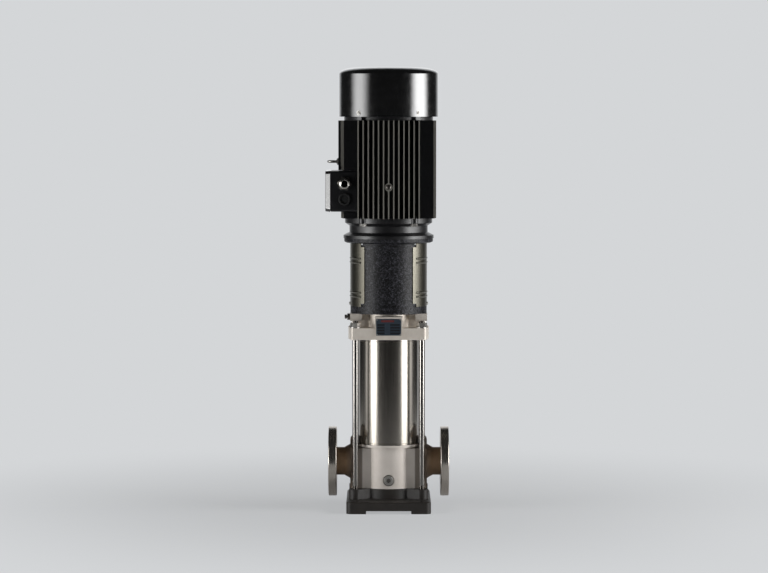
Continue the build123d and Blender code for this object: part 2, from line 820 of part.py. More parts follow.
with BuildPart() as motor_frame:
    with BuildSketch(Plane.XY.offset(frame_z)):
        Circle(barrel_root)
        for number in range(fins_per_side):
            across = number * fin_pitch - fin_span
            reach = fin_reach - fin_arc + sqrt(fin_arc**2 - across**2)
            with Locations((across, 0)):
                Rectangle(fin_thickness, 2 * reach)
            with Locations((0, across)):
                Rectangle(2 * reach, fin_thickness)
        with Locations(*shield_spots):
            Circle(shield_ear_radius)
    extrude(amount=frame_length)
    # Seat of the terminal box, where the side fins stop.
    with BuildSketch(Plane.XY.offset(box_z - box_clearance)):
        with Locations((-(box_inner_edge + box_face) / 2, 0)):
            Rectangle(box_face - box_inner_edge, 2 * (box_half_width + gland_length))
        Circle(barrel_root, mode=Mode.SUBTRACT)
    extrude(amount=box_height + 2 * box_clearance, mode=Mode.SUBTRACT)
    # Pad over the box, with the eyebolt's thread.
    frame_wall = barrel_root - stator_radius
    with BuildSketch(Plane.XY.offset(box_top + box_clearance)):
        with Locations((-(eye_pad_face + stator_radius) / 2, 0)):
            Rectangle(eye_pad_face - stator_radius, 2 * eye_pad_half_width)
    extrude(amount=rear_z - box_top - box_clearance)
    eye_z = box_top + eye_rise
    with BuildSketch(Plane.YZ.offset(-eye_pad_face)):
        with Locations((0, eye_z)):
            Circle(eye_shank_radius + thread_gap)
    extrude(amount=eye_shank, mode=Mode.SUBTRACT)
    # Boss for the earth screw, between the fins on the front.
    with BuildSketch(Plane.XZ.offset(barrel_root - frame_wall / 2)):
        with Locations((0, earth_z)):
            Circle(earth_boss_radius)
    extrude(amount=fin_reach - barrel_root + frame_wall / 2)
    with BuildSketch(Plane.XZ.offset(fin_reach - earth_screw_length)):
        with Locations((0, earth_z)):
            Circle(earth_screw_radius + thread_gap)
    extrude(amount=earth_screw_length, mode=Mode.SUBTRACT)
    # Bore for the stator, and the end shields' bolt threads.
    round_step(frame_z, stator_radius, frame_length, Mode.SUBTRACT)
    bolt_hole = shield_bolt_radius + thread_gap
    rod_stretch(shield_spots, frame_z, bolt_hole, shield_bolt_depth, Mode.SUBTRACT)
save(motor_frame, "motor_frame")

with BuildPart() as earth_screw:
    with BuildSketch(Plane.XZ.offset(fin_reach)):
        with Locations((0, earth_z)):
            Circle(earth_head_radius)
    extrude(amount=earth_screw_radius)
    with BuildSketch(Plane.XZ.offset(fin_reach - earth_screw_length)):
        with Locations((0, earth_z)):
            Circle(earth_screw_radius)
    extrude(amount=earth_screw_length)
save(earth_screw, "earth_screw")

with BuildPart() as eyebolt:
    eye_centre = eye_pad_face + eye_collar + eye_ring_radius + eye_bar / 2
    with Locations((-eye_centre, 0, eye_z)):
        Torus(eye_ring_radius, eye_bar / 2)
    for radius, start, length in (
        (eye_collar_radius, 0.0, -eye_collar),
        (eye_neck_radius, 0.0, -eye_collar - eye_bar / 2),
        (eye_shank_radius, 0.0, eye_shank),
    ):
        with BuildSketch(Plane.YZ.offset(-eye_pad_face + start)):
            with Locations((0, eye_z)):
                Circle(radius)
        extrude(amount=length)
save(eyebolt, "eyebolt")

# --------------------------------------------------------------- motor internals
stator_z = frame_z + stator_lift
rear_bearing_z = rear_z - bearing_width - rear_bearing_lip
race_radius = (bearing_radius + motor_shaft_radius) / 2 - bearing_race / 2
fan_z = cowl_z + fan_lift

with BuildPart() as stator_core:
    round_step(stator_z, stator_radius - thread_gap, stator_length)
    round_step(stator_z, stator_bore, stator_length, Mode.SUBTRACT)
save(stator_core, "stator_core")

with BuildPart() as stator_windings:
    for winding_z in (stator_z - winding_height, stator_z + stator_length):
        round_step(winding_z, winding_outer, winding_height)
        round_step(winding_z, winding_inner, winding_height, Mode.SUBTRACT)
save(stator_windings, "stator_windings")

with BuildPart() as bearing_outer_rings:
    for ring_z in (bearing_z, rear_bearing_z):
        round_step(ring_z, bearing_radius - thread_gap, bearing_width)
        round_step(ring_z, race_radius + running_gap, bearing_width, Mode.SUBTRACT)
save(bearing_outer_rings, "bearing_outer_rings")

with BuildPart() as bearing_inner_rings:
    for ring_z in (bearing_z, rear_bearing_z):
        round_step(ring_z, race_radius, bearing_width)
        round_step(ring_z, motor_shaft_radius + thread_gap, bearing_width, Mode.SUBTRACT)
save(bearing_inner_rings, "bearing_inner_rings")

with BuildPart() as motor_shaft:
    shaft_start = coupling_middle + coupling_gap / 2
    round_step(shaft_start, shaft_end_radius, bearing_z - shaft_start)
    round_step(bearing_z, motor_shaft_radius, rear_bearing_z + bearing_width - bearing_z)
    fan_seat_z = cowl_z - fan_seat_drop
    round_step(fan_seat_z, fan_seat_radius, fan_z + fan_hub_height + shaft_tip - fan_seat_z)
save(motor_shaft, "motor_shaft")

with BuildPart() as rotor_core:
    round_step(stator_z, rotor_radius, stator_length)
    round_step(stator_z, motor_shaft_radius + thread_gap, stator_length, Mode.SUBTRACT)
save(rotor_core, "rotor_core")

# --------------------------------------------------- rear shield, fan and fan cowl
with BuildPart() as rear_end_shield:
    round_step(rear_z, rear_rim_radius, rear_rim_height)
    round_step(rear_bearing_z, rear_boss_radius, rear_z - rear_bearing_z)
    # Four lugs inside the cowl's edge take its screws.
    with BuildSketch(Plane.XY.offset(rear_z)):
        for angle in (90 - cowl_lug_angle, 90 + cowl_lug_angle):
            Rectangle(2 * cowl_radius, cowl_lug_width, rotation=angle)
        Circle(cowl_radius - cowl_sheet - seat_gap, mode=Mode.INTERSECT)
        Circle(cowl_lug_inner, mode=Mode.SUBTRACT)
    extrude(amount=rear_rim_height + cowl_lug_height)
    round_step(rear_bearing_z, bearing_radius, bearing_width, Mode.SUBTRACT)
    bore = motor_shaft_radius + shaft_window
    round_step(rear_bearing_z, bore, 2 * bearing_radius, Mode.SUBTRACT)
save(rear_end_shield, "rear_end_shield")

with BuildPart() as fan:
    round_step(fan_z, fan_hub_radius, fan_hub_height)
    with BuildSketch(Plane.XY.offset(fan_z)):
        with PolarLocations(fan_radius / 2, fan_blades):
            Rectangle(fan_radius, fan_blade_thickness)
    extrude(amount=fan_blade_height)
    bore = fan_seat_radius + thread_gap
    round_step(fan_z, bore, fan_blade_height, Mode.SUBTRACT)
save(fan, "fan")


def crown(inset):
    """Points down the cowl's rounded shoulder, on a quarter ellipse, edge first."""
    return [
        (
            cowl_radius - crown_width + (crown_width - inset) * cos(radians(angle)),
            top_z - crown_height + (crown_height - inset) * sin(radians(angle)),
        )
        for angle in range(0, 91, 90 // crown_steps)
    ]


with BuildPart() as fan_cowl:
    with BuildSketch(Plane.XZ):
        with BuildLine():
            Polyline(
                (cowl_radius - cowl_sheet, cowl_z),
                (cowl_radius, cowl_z),
                *crown(0.0),
                (0, top_z),
                (0, top_z - cowl_sheet),
                *reversed(crown(cowl_sheet)),
                close=True,
            )
        make_face()
    revolve(axis=Axis.Z)
    # Air slots in the top.
    with BuildSketch(Plane.XY.offset(top_z - 2 * cowl_sheet)):
        with PolarLocations((grille_inner + grille_outer) / 2, grille_slots):
            Rectangle(grille_outer - grille_inner, grille_slot_width)
    extrude(amount=3 * cowl_sheet, mode=Mode.SUBTRACT)
save(fan_cowl, "fan_cowl")

# ------------------------------------------------------------------ terminal box
box_middle = (box_z + box_top) / 2
gland_z = box_z + gland_rise
blank_z = box_z + blank_rise
box_inner_width = 2 * (box_half_width - box_wall)
box_inner_height = box_height - 2 * box_wall

with BuildPart() as terminal_box:
    with BuildSketch(Plane.YZ.offset(-box_face)):
        with Locations((0, box_middle)):
            RectangleRounded(2 * box_half_width, box_height, box_corner)
    extrude(amount=box_face - box_inner_edge)
    round_step(box_z, barrel_root + seat_gap, box_height, Mode.SUBTRACT)
    with BuildSketch(Plane.YZ.offset(-box_face)):
        with Locations((0, box_middle)):
            Rectangle(box_inner_width, box_inner_height)
    extrude(amount=box_face - box_floor, mode=Mode.SUBTRACT)
    with BuildSketch(Plane.XZ.offset(box_half_width - 2 * box_wall)):
        with Locations((-gland_x, gland_z)):
            Circle(gland_bore + box_wall + thread_gap)
        with Locations((-gland_x, blank_z)):
            Circle(blank_radius - box_wall + thread_gap)
    extrude(amount=3 * box_wall, mode=Mode.SUBTRACT)
save(terminal_box, "terminal_box")

lid_face = box_face + lid_thickness
lid_seat = box_face + gasket_thickness
lid_width = 2 * (box_half_width + lid_overhang)
lid_height = box_height + 2 * lid_overhang

with BuildPart() as lid_gasket:
    with BuildSketch(Plane.YZ.offset(-lid_seat)):
        with Locations((0, box_middle)):
            Rectangle(2 * box_half_width - box_wall, box_height - box_wall)
            Rectangle(box_inner_width, box_inner_height, mode=Mode.SUBTRACT)
    extrude(amount=gasket_thickness)
save(lid_gasket, "lid_gasket")

with BuildPart() as terminal_box_lid:
    with BuildSketch(Plane.YZ.offset(-lid_face)):
        with Locations((0, box_middle)):
            RectangleRounded(lid_width, lid_height, lid_corner)
    extrude(amount=lid_face - lid_seat)
    fillet(terminal_box_lid.faces().sort_by(Axis.X)[0].edges(), radius=lid_round)
    with BuildSketch(Plane.YZ.offset(-lid_seat)):
        with Locations((0, box_middle)):
            Rectangle(lid_width - 2 * lid_rim, lid_height - 2 * lid_rim)
    extrude(amount=-(lid_face - lid_seat - lid_rim), mode=Mode.SUBTRACT)
save(terminal_box_lid, "terminal_box_lid")

with BuildPart() as terminal_board:
    with BuildSketch(Plane.YZ.offset(-box_floor)):
        with Locations((0, box_middle)):
            Rectangle(board_width, board_height)
    extrude(amount=-board_thickness)
save(terminal_board, "terminal_board")

with BuildPart() as cable_gland:
    with BuildSketch(Plane.XZ.offset(box_half_width)):
        with Locations((-gland_x, gland_z)):
            Circle(gland_radius)
    extrude(amount=gland_length)
    chamfer(cable_gland.faces().sort_by(Axis.Y)[0].edges(), length=gland_shoulder)
    with BuildSketch(Plane.XZ.offset(box_half_width)):
        with Locations((-gland_x, gland_z)):
            RegularPolygon(gland_hex / 2, 6, major_radius=False)
    extrude(amount=gland_hex_length)
    with BuildSketch(Plane.XZ.offset(box_half_width - thread_length)):
        with Locations((-gland_x, gland_z)):
            Circle(gland_bore + box_wall)
    extrude(amount=thread_length)
    with BuildSketch(Plane.XZ.offset(box_half_width - thread_length)):
        with Locations((-gland_x, gland_z)):
            Circle(gland_bore)
    extrude(amount=thread_length + gland_length, mode=Mode.SUBTRACT)
save(cable_gland, "cable_gland")

with BuildPart() as blanking_plug:
    with BuildSketch(Plane.XZ.offset(box_half_width)):
        with Locations((-gland_x, blank_z)):
            Circle(blank_radius)
    extrude(amount=blank_length)
    with BuildSketch(Plane.XZ.offset(box_half_width - thread_length)):
        with Locations((-gland_x, blank_z)):
            Circle(blank_radius - box_wall)
    extrude(amount=thread_length)
save(blanking_plug, "blanking_plug")

# --------------------------------------------------------- vent plug and spindle
with BuildPart() as vent_plug:
    with BuildSketch(Plane.YZ.offset(-lobe_reach)):
        with Locations((0, vent_z)):
            Circle(vent_radius)
    extrude(amount=vent_depth)
    with BuildSketch(Plane.YZ.offset(-lobe_reach)):
        with Locations((0, vent_z)):
            RegularPolygon(vent_hex / 2, 6, major_radius=False)
    extrude(amount=-vent_head)
    with BuildSketch(Plane.YZ.offset(-lobe_reach - vent_head)):
        with Locations((0, vent_z)):
            Circle(spindle_radius + running_gap)
    extrude(amount=spindle_length, mode=Mode.SUBTRACT)
save(vent_plug, "vent_plug")

with BuildPart() as vent_spindle:
    with BuildSketch(Plane.YZ.offset(-lobe_reach - vent_head - 1)):
        with Locations((0, vent_z)):
            Circle(spindle_radius)
    extrude(amount=spindle_length)
    with BuildSketch(Plane.YZ.offset(-lobe_reach - vent_head - 1)):
        with Locations((0, vent_z)):
            Circle(spindle_knob_radius)
    extrude(amount=-spindle_knob)
save(vent_spindle, "vent_spindle")
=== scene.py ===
"""Looks of an upright multistage pump: finishes, small fasteners, light and camera.

Metres, in the same frame as the CAD nodes: +Z up along the shaft, nameplate to -Y.
"""

from math import acos, atan2, cos, degrees, pi, radians, sin, sqrt, tan

import bmesh
import bpy
from mathutils import Matrix, Vector


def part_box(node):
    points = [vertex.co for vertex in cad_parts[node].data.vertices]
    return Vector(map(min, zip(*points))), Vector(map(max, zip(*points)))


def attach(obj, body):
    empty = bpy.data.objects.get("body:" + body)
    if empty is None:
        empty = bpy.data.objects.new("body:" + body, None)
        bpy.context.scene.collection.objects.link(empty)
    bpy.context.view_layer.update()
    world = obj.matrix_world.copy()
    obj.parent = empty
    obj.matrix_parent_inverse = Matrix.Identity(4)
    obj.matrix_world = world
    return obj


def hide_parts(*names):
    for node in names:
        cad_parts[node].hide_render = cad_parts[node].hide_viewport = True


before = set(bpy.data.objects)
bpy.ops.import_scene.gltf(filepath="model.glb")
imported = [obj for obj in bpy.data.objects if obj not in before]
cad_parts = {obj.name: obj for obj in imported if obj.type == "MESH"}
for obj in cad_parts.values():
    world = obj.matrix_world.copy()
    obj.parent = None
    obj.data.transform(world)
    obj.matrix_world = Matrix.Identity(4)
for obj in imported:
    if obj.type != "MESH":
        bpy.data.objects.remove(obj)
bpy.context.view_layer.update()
bpy.ops.object.select_all(action="DESELECT")

# ---------------------------------------------------------------- base plate
# Grey iron casting with four feet, a round boss and four lugs for the stay
# bolts. Sand cast, then sprayed with a thin black primer that keeps the grain.


def colour(hex_value):
    """An sRGB hex colour as linear RGBA."""
    parts = [int(hex_value[i : i + 2], 16) / 255 for i in (0, 2, 4)]
    return [p / 12.92 if p <= 0.04045 else ((p + 0.055) / 1.055) ** 2.4 for p in parts] + [1.0]


def add_node(tree, kind, values=(), links=(), to=None):
    """Add a node, set its sockets and properties, link what feeds it and what it feeds."""
    node = tree.nodes.new(kind)
    for name, value in dict(values).items():
        if isinstance(name, int) or name in node.inputs:
            node.inputs[name].default_value = value
        else:
            setattr(node, name, value)
    for name, (source, socket) in dict(links).items():
        tree.links.new(source.outputs[socket], node.inputs[name])
    if to:
        target, name = to
        tree.links.new(node.outputs[0], target.inputs[name])
    return node


def new_finish(name, values):
    """Start a finish: its tree, its shader with the plain settings, and the piece's coordinates."""
    finish = bpy.data.materials.new(name)
    finish.use_nodes = True
    tree = finish.node_tree
    shader = tree.nodes["Principled BSDF"]
    for socket, value in values.items():
        shader.inputs[socket].default_value = value
    return finish, tree, shader, tree.nodes.new("ShaderNodeTexCoord")


def make_active(piece):
    """Select one piece alone."""
    bpy.ops.object.select_all(action="DESELECT")
    piece.select_set(True)
    bpy.context.view_layer.objects.active = piece


def apply_modifier(piece, name, kind, **settings):
    """Add a modifier to a piece and apply it."""
    make_active(piece)
    modifier = piece.modifiers.new(name, kind)
    for key, value in settings.items():
        setattr(modifier, key, value)
    bpy.ops.object.modifier_apply(modifier=modifier.name)


def round_edges(piece, width, segments=2, angle=32):
    """Round the piece's sharp edges and smooth the rest."""
    apply_modifier(
        piece, "round", "BEVEL", width=width, segments=segments, limit_method="ANGLE",
        angle_limit=radians(angle), use_clamp_overlap=True, miter_outer="MITER_ARC",
    )
    make_active(piece)
    bpy.ops.object.shade_smooth_by_angle(angle=radians(angle))
    apply_modifier(piece, "flat", "WEIGHTED_NORMAL", keep_sharp=True)


def cast_copy(node, name):
    """A welded copy of a CAD node, ready for its edges to be worked."""
    piece = bpy.data.objects.new(name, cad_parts[node].data.copy())
    bpy.context.scene.collection.objects.link(piece)
    make_active(piece)
    bpy.ops.object.mode_set(mode="EDIT")
    bpy.ops.mesh.select_all(action="SELECT")
    bpy.ops.mesh.remove_doubles(threshold=2e-6)
    bpy.ops.mesh.dissolve_limited(angle_limit=radians(0.5))
    bpy.ops.object.mode_set(mode="OBJECT")
    return piece


def fit(piece, body, slot, finish, *nodes):
    """Give a piece its finish and its body, and let it stand for its CAD nodes."""
    if finish:
        piece.data.materials.clear()
        piece.data.materials.append(finish)
    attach(piece, body)
    if nodes:
        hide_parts(*nodes)


black_primer, tree, shader, place = new_finish(
    "black_primer_on_cast_iron", {"Roughness": 0.5, "IOR": 1.5}
)
sand = add_node(
    tree, "ShaderNodeTexNoise", {"Scale": 1 / 0.0016, "Detail": 5.0, "Roughness": 0.65},
    {"Vector": (place, "Object")},
)
wear = add_node(
    tree, "ShaderNodeTexNoise", {"Scale": 1 / 0.035, "Detail": 3.0}, {"Vector": (place, "Object")}
)
tone = add_node(
    tree, "ShaderNodeMixRGB", {"Color1": colour("14120f"), "Color2": colour("2d2824")},
    {"Fac": (wear, "Fac")}, (shader, "Base Color"),
)
add_node(
    tree, "ShaderNodeMapRange", {"To Min": 0.38, "To Max": 0.62}, {"Value": (sand, "Fac")},
    (shader, "Roughness"),
)
add_node(
    tree, "ShaderNodeBump", {"Strength": 0.3, "Distance": 0.0005}, {"Height": (sand, "Fac")},
    (shader, "Normal"),
)

plate = cast_copy("base_plate", "base_plate_casting")
round_edges(plate, 0.0018, 3)
fit(plate, "root", "base_paint", black_primer, "base_plate")

# ------------------------------------------------------------------- casing
# Investment cast stainless steel with the two in-line necks. The barrel is bead
# blasted to a warm satin grey. Its lobes are darker, for their cast skin and as
# painted shade beside the barrel, and the necks are browned where they were welded.
blasted_steel, tree, shader, place = new_finish(
    "bead_blasted_stainless", {"Metallic": 0.4, "Roughness": 0.55}
)
cloud = add_node(
    tree, "ShaderNodeTexNoise", {"Scale": 1 / 0.045, "Detail": 4.0, "Roughness": 0.6},
    {"Vector": (place, "Object")},
)
tone = add_node(
    tree, "ShaderNodeMixRGB", {"Color1": colour("c6bdb4"), "Color2": colour("e6e0d9")},
    {"Fac": (cloud, "Fac")},
)
apart = add_node(tree, "ShaderNodeSeparateXYZ", {}, {"Vector": (place, "Object")})
out = add_node(tree, "ShaderNodeMath", {"operation": "ABSOLUTE"}, {0: (apart, "X")})
# The lobes either side of the barrel are painted darker: cast skin, and painted shade.
lobe_skin_and_shade = add_node(
    tree, "ShaderNodeMapRange", {"From Min": 0.0685, "From Max": 0.0715, "To Max": 0.85},
    {"Value": (out, "Value")},
)
skin_and_shade = add_node(
    tree, "ShaderNodeMixRGB", {"Color2": colour("6b6158")},
    {"Fac": (lobe_skin_and_shade, "Result"), "Color1": (tone, "Color")},
)
neck_heat = add_node(
    tree, "ShaderNodeMapRange", {"From Min": 0.094, "From Max": 0.116, "To Max": 0.85},
    {"Value": (out, "Value")},
)
add_node(
    tree, "ShaderNodeMixRGB", {"Color2": colour("a08263")},
    {"Fac": (neck_heat, "Result"), "Color1": (skin_and_shade, "Color")}, (shader, "Base Color"),
)
bead = add_node(
    tree, "ShaderNodeTexNoise", {"Scale": 1 / 0.0009, "Detail": 3.0}, {"Vector": (place, "Object")}
)
add_node(
    tree, "ShaderNodeMapRange", {"To Min": 0.5, "To Max": 0.62}, {"Value": (cloud, "Fac")},
    (shader, "Roughness"),
)
add_node(
    tree, "ShaderNodeBump", {"Strength": 0.25, "Distance": 0.0003}, {"Height": (bead, "Fac")},
    (shader, "Normal"),
)

casing = cast_copy("pump_casing", "pump_casing_casting")
round_edges(casing, 0.0014, 2, 40)
fit(casing, "root", "casing_cast", blasted_steel, "pump_casing")

# ------------------------------------------------------------------ flanges
# Loose stainless flanges, turned all over on a lathe: fine tool rings on the
# faces, a bright rim, and edges broken by a small chamfer.
turned_steel, tree, shader, place = new_finish(
    "turned_stainless", {"Metallic": 1.0, "Roughness": 0.24}
)
stretch = add_node(
    tree, "ShaderNodeMapping", {"Scale": (1.0, 0.004, 0.004)}, {"Vector": (place, "Object")}
)
rings = add_node(
    tree, "ShaderNodeTexNoise", {"Scale": 1 / 0.0008, "Detail": 2.0}, {"Vector": (stretch, "Vector")}
)
cloud = add_node(
    tree, "ShaderNodeTexNoise", {"Scale": 1 / 0.03, "Detail": 3.0}, {"Vector": (place, "Object")}
)
add_node(
    tree, "ShaderNodeMixRGB", {"Color1": colour("b9b0a6"), "Color2": colour("d3ccc3")},
    {"Fac": (cloud, "Fac")}, (shader, "Base Color"),
)
add_node(
    tree, "ShaderNodeMapRange", {"To Min": 0.18, "To Max": 0.34}, {"Value": (rings, "Fac")},
    (shader, "Roughness"),
)
add_node(
    tree, "ShaderNodeBump", {"Strength": 0.5, "Distance": 0.0003}, {"Height": (rings, "Fac")},
    (shader, "Normal"),
)

for side_name in ("suction", "discharge"):
    flange = cast_copy(f"{side_name}_flange", f"{side_name}_flange_turned")
    round_edges(flange, 0.0016, 2, 40)
    fit(flange, "root", "flange_machined", turned_steel, f"{side_name}_flange")

# --------------------------------------------------------------- drain plug
# Stainless screw plug with a round head, an internal hexagon and a thin sealing
# washer, low on the front of the casing.


def turn(name, points, steps=64, sweep=2 * pi):
    """Turn a profile of (radius, height) points about Z, from one vertex drawn out."""
    bpy.ops.mesh.primitive_plane_add(size=0.001)
    piece = bpy.context.object
    piece.name = name
    bpy.ops.object.mode_set(mode="EDIT")
    bpy.ops.mesh.select_all(action="SELECT")
    bpy.ops.mesh.merge(type="CENTER")
    bpy.ops.transform.translate(value=(points[0][0], 0, points[0][1]))
    for before, after in zip(points, points[1:]):
        step = (after[0] - before[0], 0, after[1] - before[1])
        bpy.ops.mesh.extrude_region_move(TRANSFORM_OT_translate={"value": step})
    bpy.ops.mesh.select_all(action="SELECT")
    bpy.ops.mesh.spin(steps=steps, angle=-sweep, center=(0, 0, 0), axis=(0, 0, 1))
    bpy.ops.mesh.select_all(action="SELECT")
    bpy.ops.mesh.remove_doubles(threshold=1e-6)
    bpy.ops.mesh.normals_make_consistent(inside=False)
    bpy.ops.object.mode_set(mode="OBJECT")
    return piece


def set_down(piece, spot, toward=(0, 0, 1), roll=0.0):
    """Turn a piece made about Z towards a direction, move it to its spot, and fix it there."""
    turned = Vector((0, 0, 1)).rotation_difference(Vector(toward)).to_matrix().to_4x4()
    piece.matrix_world = Matrix.Translation(spot) @ turned @ Matrix.Rotation(roll, 4, "Z")
    make_active(piece)
    bpy.ops.object.transform_apply(location=True, rotation=True, scale=True)
    return piece


def copies(model, name, spots, toward=(0, 0, 1), rolls=(0.0,)):
    """Put a copy of a small part at each spot, join them as one piece, and drop the model."""
    made = []
    for number, spot in enumerate(spots):
        one = bpy.data.objects.new(name, model.data.copy())
        bpy.context.scene.collection.objects.link(one)
        way = toward[number] if isinstance(toward, list) else toward
        made.append(set_down(one, spot, way, rolls[number % len(rolls)]))
    bpy.data.objects.remove(model)
    bpy.ops.object.select_all(action="DESELECT")
    for one in made:
        one.select_set(True)
    bpy.context.view_layer.objects.active = made[0]
    bpy.ops.object.join()
    made[0].name = name
    return made[0]


def cut_away(piece, tool, way="DIFFERENCE"):
    """Cut a piece with another, and drop the tool."""
    apply_modifier(piece, "cut", "BOOLEAN", operation=way, object=tool, solver="EXACT")
    bpy.data.objects.remove(tool)


def hexagon(name, across_flats, low, high):
    """A hexagonal bar about Z."""
    radius = across_flats / sqrt(3)
    bpy.ops.mesh.primitive_cylinder_add(
        vertices=6, radius=radius, depth=high - low, location=(0, 0, (low + high) / 2)
    )
    bar = bpy.context.object
    bar.name = name
    bpy.ops.object.transform_apply(location=True, rotation=True, scale=True)
    return bar


plain_steel, tree, shader, place = new_finish(
    "bright_zinc_on_steel", {"Metallic": 1.0, "Roughness": 0.28}
)
cloud = add_node(
    tree, "ShaderNodeTexNoise", {"Scale": 1 / 0.004, "Detail": 4.0}, {"Vector": (place, "Object")}
)
add_node(
    tree, "ShaderNodeMixRGB", {"Color1": colour("9d9a95"), "Color2": colour("c9c7c2")},
    {"Fac": (cloud, "Fac")}, (shader, "Base Color"),
)
add_node(
    tree, "ShaderNodeMapRange", {"To Min": 0.3, "To Max": 0.52}, {"Value": (cloud, "Fac")},
    (shader, "Roughness"),
)

dull_steel, tree, shader, place = new_finish("dull_stainless", {"Metallic": 1.0, "Roughness": 0.34})
cloud = add_node(
    tree, "ShaderNodeTexNoise", {"Scale": 1 / 0.003, "Detail": 3.0}, {"Vector": (place, "Object")}
)
add_node(
    tree, "ShaderNodeMixRGB", {"Color1": colour("5d5a56"), "Color2": colour("8a8680")},
    {"Fac": (cloud, "Fac")}, (shader, "Base Color"),
)
low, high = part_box("drain_plug")
plug_z = (low.z + high.z) / 2
head_radius = (high.x - low.x) / 2
plug = turn(
    "drain_plug_turned",
    [(0, -0.012), (0.0098, -0.012), (0.0098, 0), (head_radius, 0), (head_radius, 0.0012),
     (head_radius - 0.0008, 0.0014), (0.0125, 0.0014), (0.0125, 0.0052), (0.0118, 0.006), (0, 0.006)],
    48,
)
cut_away(plug, hexagon("plug_key", 0.011, 0.0015, 0.010))
set_down(plug, (0, low.y + 0.006, plug_z), (0, -1, 0))
round_edges(plug, 0.0003, 2, 30)
plug.data.materials.append(plain_steel)
plug.data.materials.append(dull_steel)
for face in plug.data.polygons:
    face.material_index = 1 if face.center.y > low.y + 0.003 else 0
fit(plug, "root", "plug_steel", None, "drain_plug")

# ------------------------------------------------------------ outer sleeve
# Thin stainless tube, rolled, seam welded and polished to a mirror with a faint
# lengthwise grain. A fine bead shows where each end is turned to its seat.
polished_tube, tree, shader, place = new_finish(
    "polished_stainless_tube", {"Metallic": 1.0, "Roughness": 0.13}
)
stretch = add_node(
    tree, "ShaderNodeMapping", {"Scale": (1.0, 1.0, 0.012)}, {"Vector": (place, "Object")}
)
grain = add_node(
    tree, "ShaderNodeTexNoise", {"Scale": 1 / 0.0022, "Detail": 4.0, "Roughness": 0.7},
    {"Vector": (stretch, "Vector")},
)
add_node(
    tree, "ShaderNodeMixRGB", {"Color1": colour("827d75"), "Color2": colour("b0aaa2")},
    {"Fac": (grain, "Fac")}, (shader, "Base Color"),
)
add_node(
    tree, "ShaderNodeMapRange", {"To Min": 0.14, "To Max": 0.3}, {"Value": (grain, "Fac")},
    (shader, "Roughness"),
)
add_node(
    tree, "ShaderNodeBump", {"Strength": 0.12, "Distance": 0.0003}, {"Height": (grain, "Fac")},
    (shader, "Normal"),
)

low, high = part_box("outer_sleeve")
radius = high.x
inner = radius - 0.0025
sleeve = turn(
    "outer_sleeve_tube",
    [(inner, low.z), (radius - 0.0006, low.z), (radius, low.z + 0.0008), (radius, low.z + 0.004),
     (radius - 0.0005, low.z + 0.0045), (radius - 0.0005, low.z + 0.0055), (radius, low.z + 0.006),
     (radius, high.z - 0.006), (radius - 0.0005, high.z - 0.0055), (radius - 0.0005, high.z - 0.0045),
     (radius, high.z - 0.004), (radius, high.z), (inner, high.z), (inner, low.z)],
    160,
)
make_active(sleeve)
bpy.ops.object.shade_smooth_by_angle(angle=radians(30))
fit(sleeve, "root", "sleeve_polished", polished_tube, "outer_sleeve")

# -------------------------------------------------------- stay bolts and nuts
# Four long stainless rods with a rolled thread at each end, and a chamfered
# hexagon nut on a plain washer over the head.
drawn_rod, tree, shader, place = new_finish("drawn_stainless_bar", {"Metallic": 1.0, "Roughness": 0.16})
stretch = add_node(
    tree, "ShaderNodeMapping", {"Scale": (1.0, 1.0, 0.02)}, {"Vector": (place, "Object")}
)
grain = add_node(
    tree, "ShaderNodeTexNoise", {"Scale": 1 / 0.0012, "Detail": 3.0}, {"Vector": (stretch, "Vector")}
)
add_node(
    tree, "ShaderNodeMixRGB", {"Color1": colour("6f6c69"), "Color2": colour("989591")},
    {"Fac": (grain, "Fac")}, (shader, "Base Color"),
)
add_node(
    tree, "ShaderNodeMapRange", {"To Min": 0.1, "To Max": 0.26}, {"Value": (grain, "Fac")},
    (shader, "Roughness"),
)

rod_low, rod_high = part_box("stay_bolts")
nut_low, nut_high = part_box("stay_bolt_nuts")
rod_radius = 0.008
rod_x = rod_high.x - rod_radius
rod_y = rod_high.y - rod_radius
rod_spots = [(x, y, 0) for x in (-rod_x, rod_x) for y in (-rod_y, rod_y)]
pitch = 0.002
profile = [(0, rod_low.z), (rod_radius - 0.001, rod_low.z)]
height = rod_low.z
while height < rod_low.z + 0.040:
    profile += [(rod_radius - 0.001, height + pitch * 0.1), (rod_radius, height + pitch * 0.6)]
    height += pitch
profile += [(rod_radius, height), (rod_radius, nut_low.z - 0.004)]
height = nut_low.z - 0.004
while height < rod_high.z - 0.002:
    profile += [(rod_radius - 0.001, height + pitch * 0.5), (rod_radius, height + pitch)]
    height += pitch
profile += [(rod_radius - 0.0016, rod_high.z), (0, rod_high.z)]
rod = copies(turn("stay_bolt", profile, 32), "stay_bolts_drawn", rod_spots)
make_active(rod)
bpy.ops.object.shade_smooth_by_angle(angle=radians(40))
fit(rod, "root", "rod_steel", drawn_rod, "stay_bolts")


def nut_blank(name, across_flats, height, bore=0.0):
    """A hexagon with its corners turned off top and bottom, as a nut or bolt head is."""
    corner = across_flats / sqrt(3)
    flat = across_flats * 0.47
    drop = (corner - flat) * tan(radians(28))
    blank = hexagon(name, across_flats, 0, height)
    lens = turn(
        "chamfer",
        [(0, -0.0001), (flat, -0.0001), (flat, 0), (corner + 0.0005, drop), (corner + 0.0005, height - drop),
         (flat, height), (flat, height + 0.0001), (0, height + 0.0001)],
        48,
    )
    cut_away(blank, lens, "INTERSECT")
    if bore:
        bpy.ops.mesh.primitive_cylinder_add(
            vertices=32, radius=bore, depth=3 * height, location=(0, 0, height / 2)
        )
        cut_away(blank, bpy.context.object)
    return blank


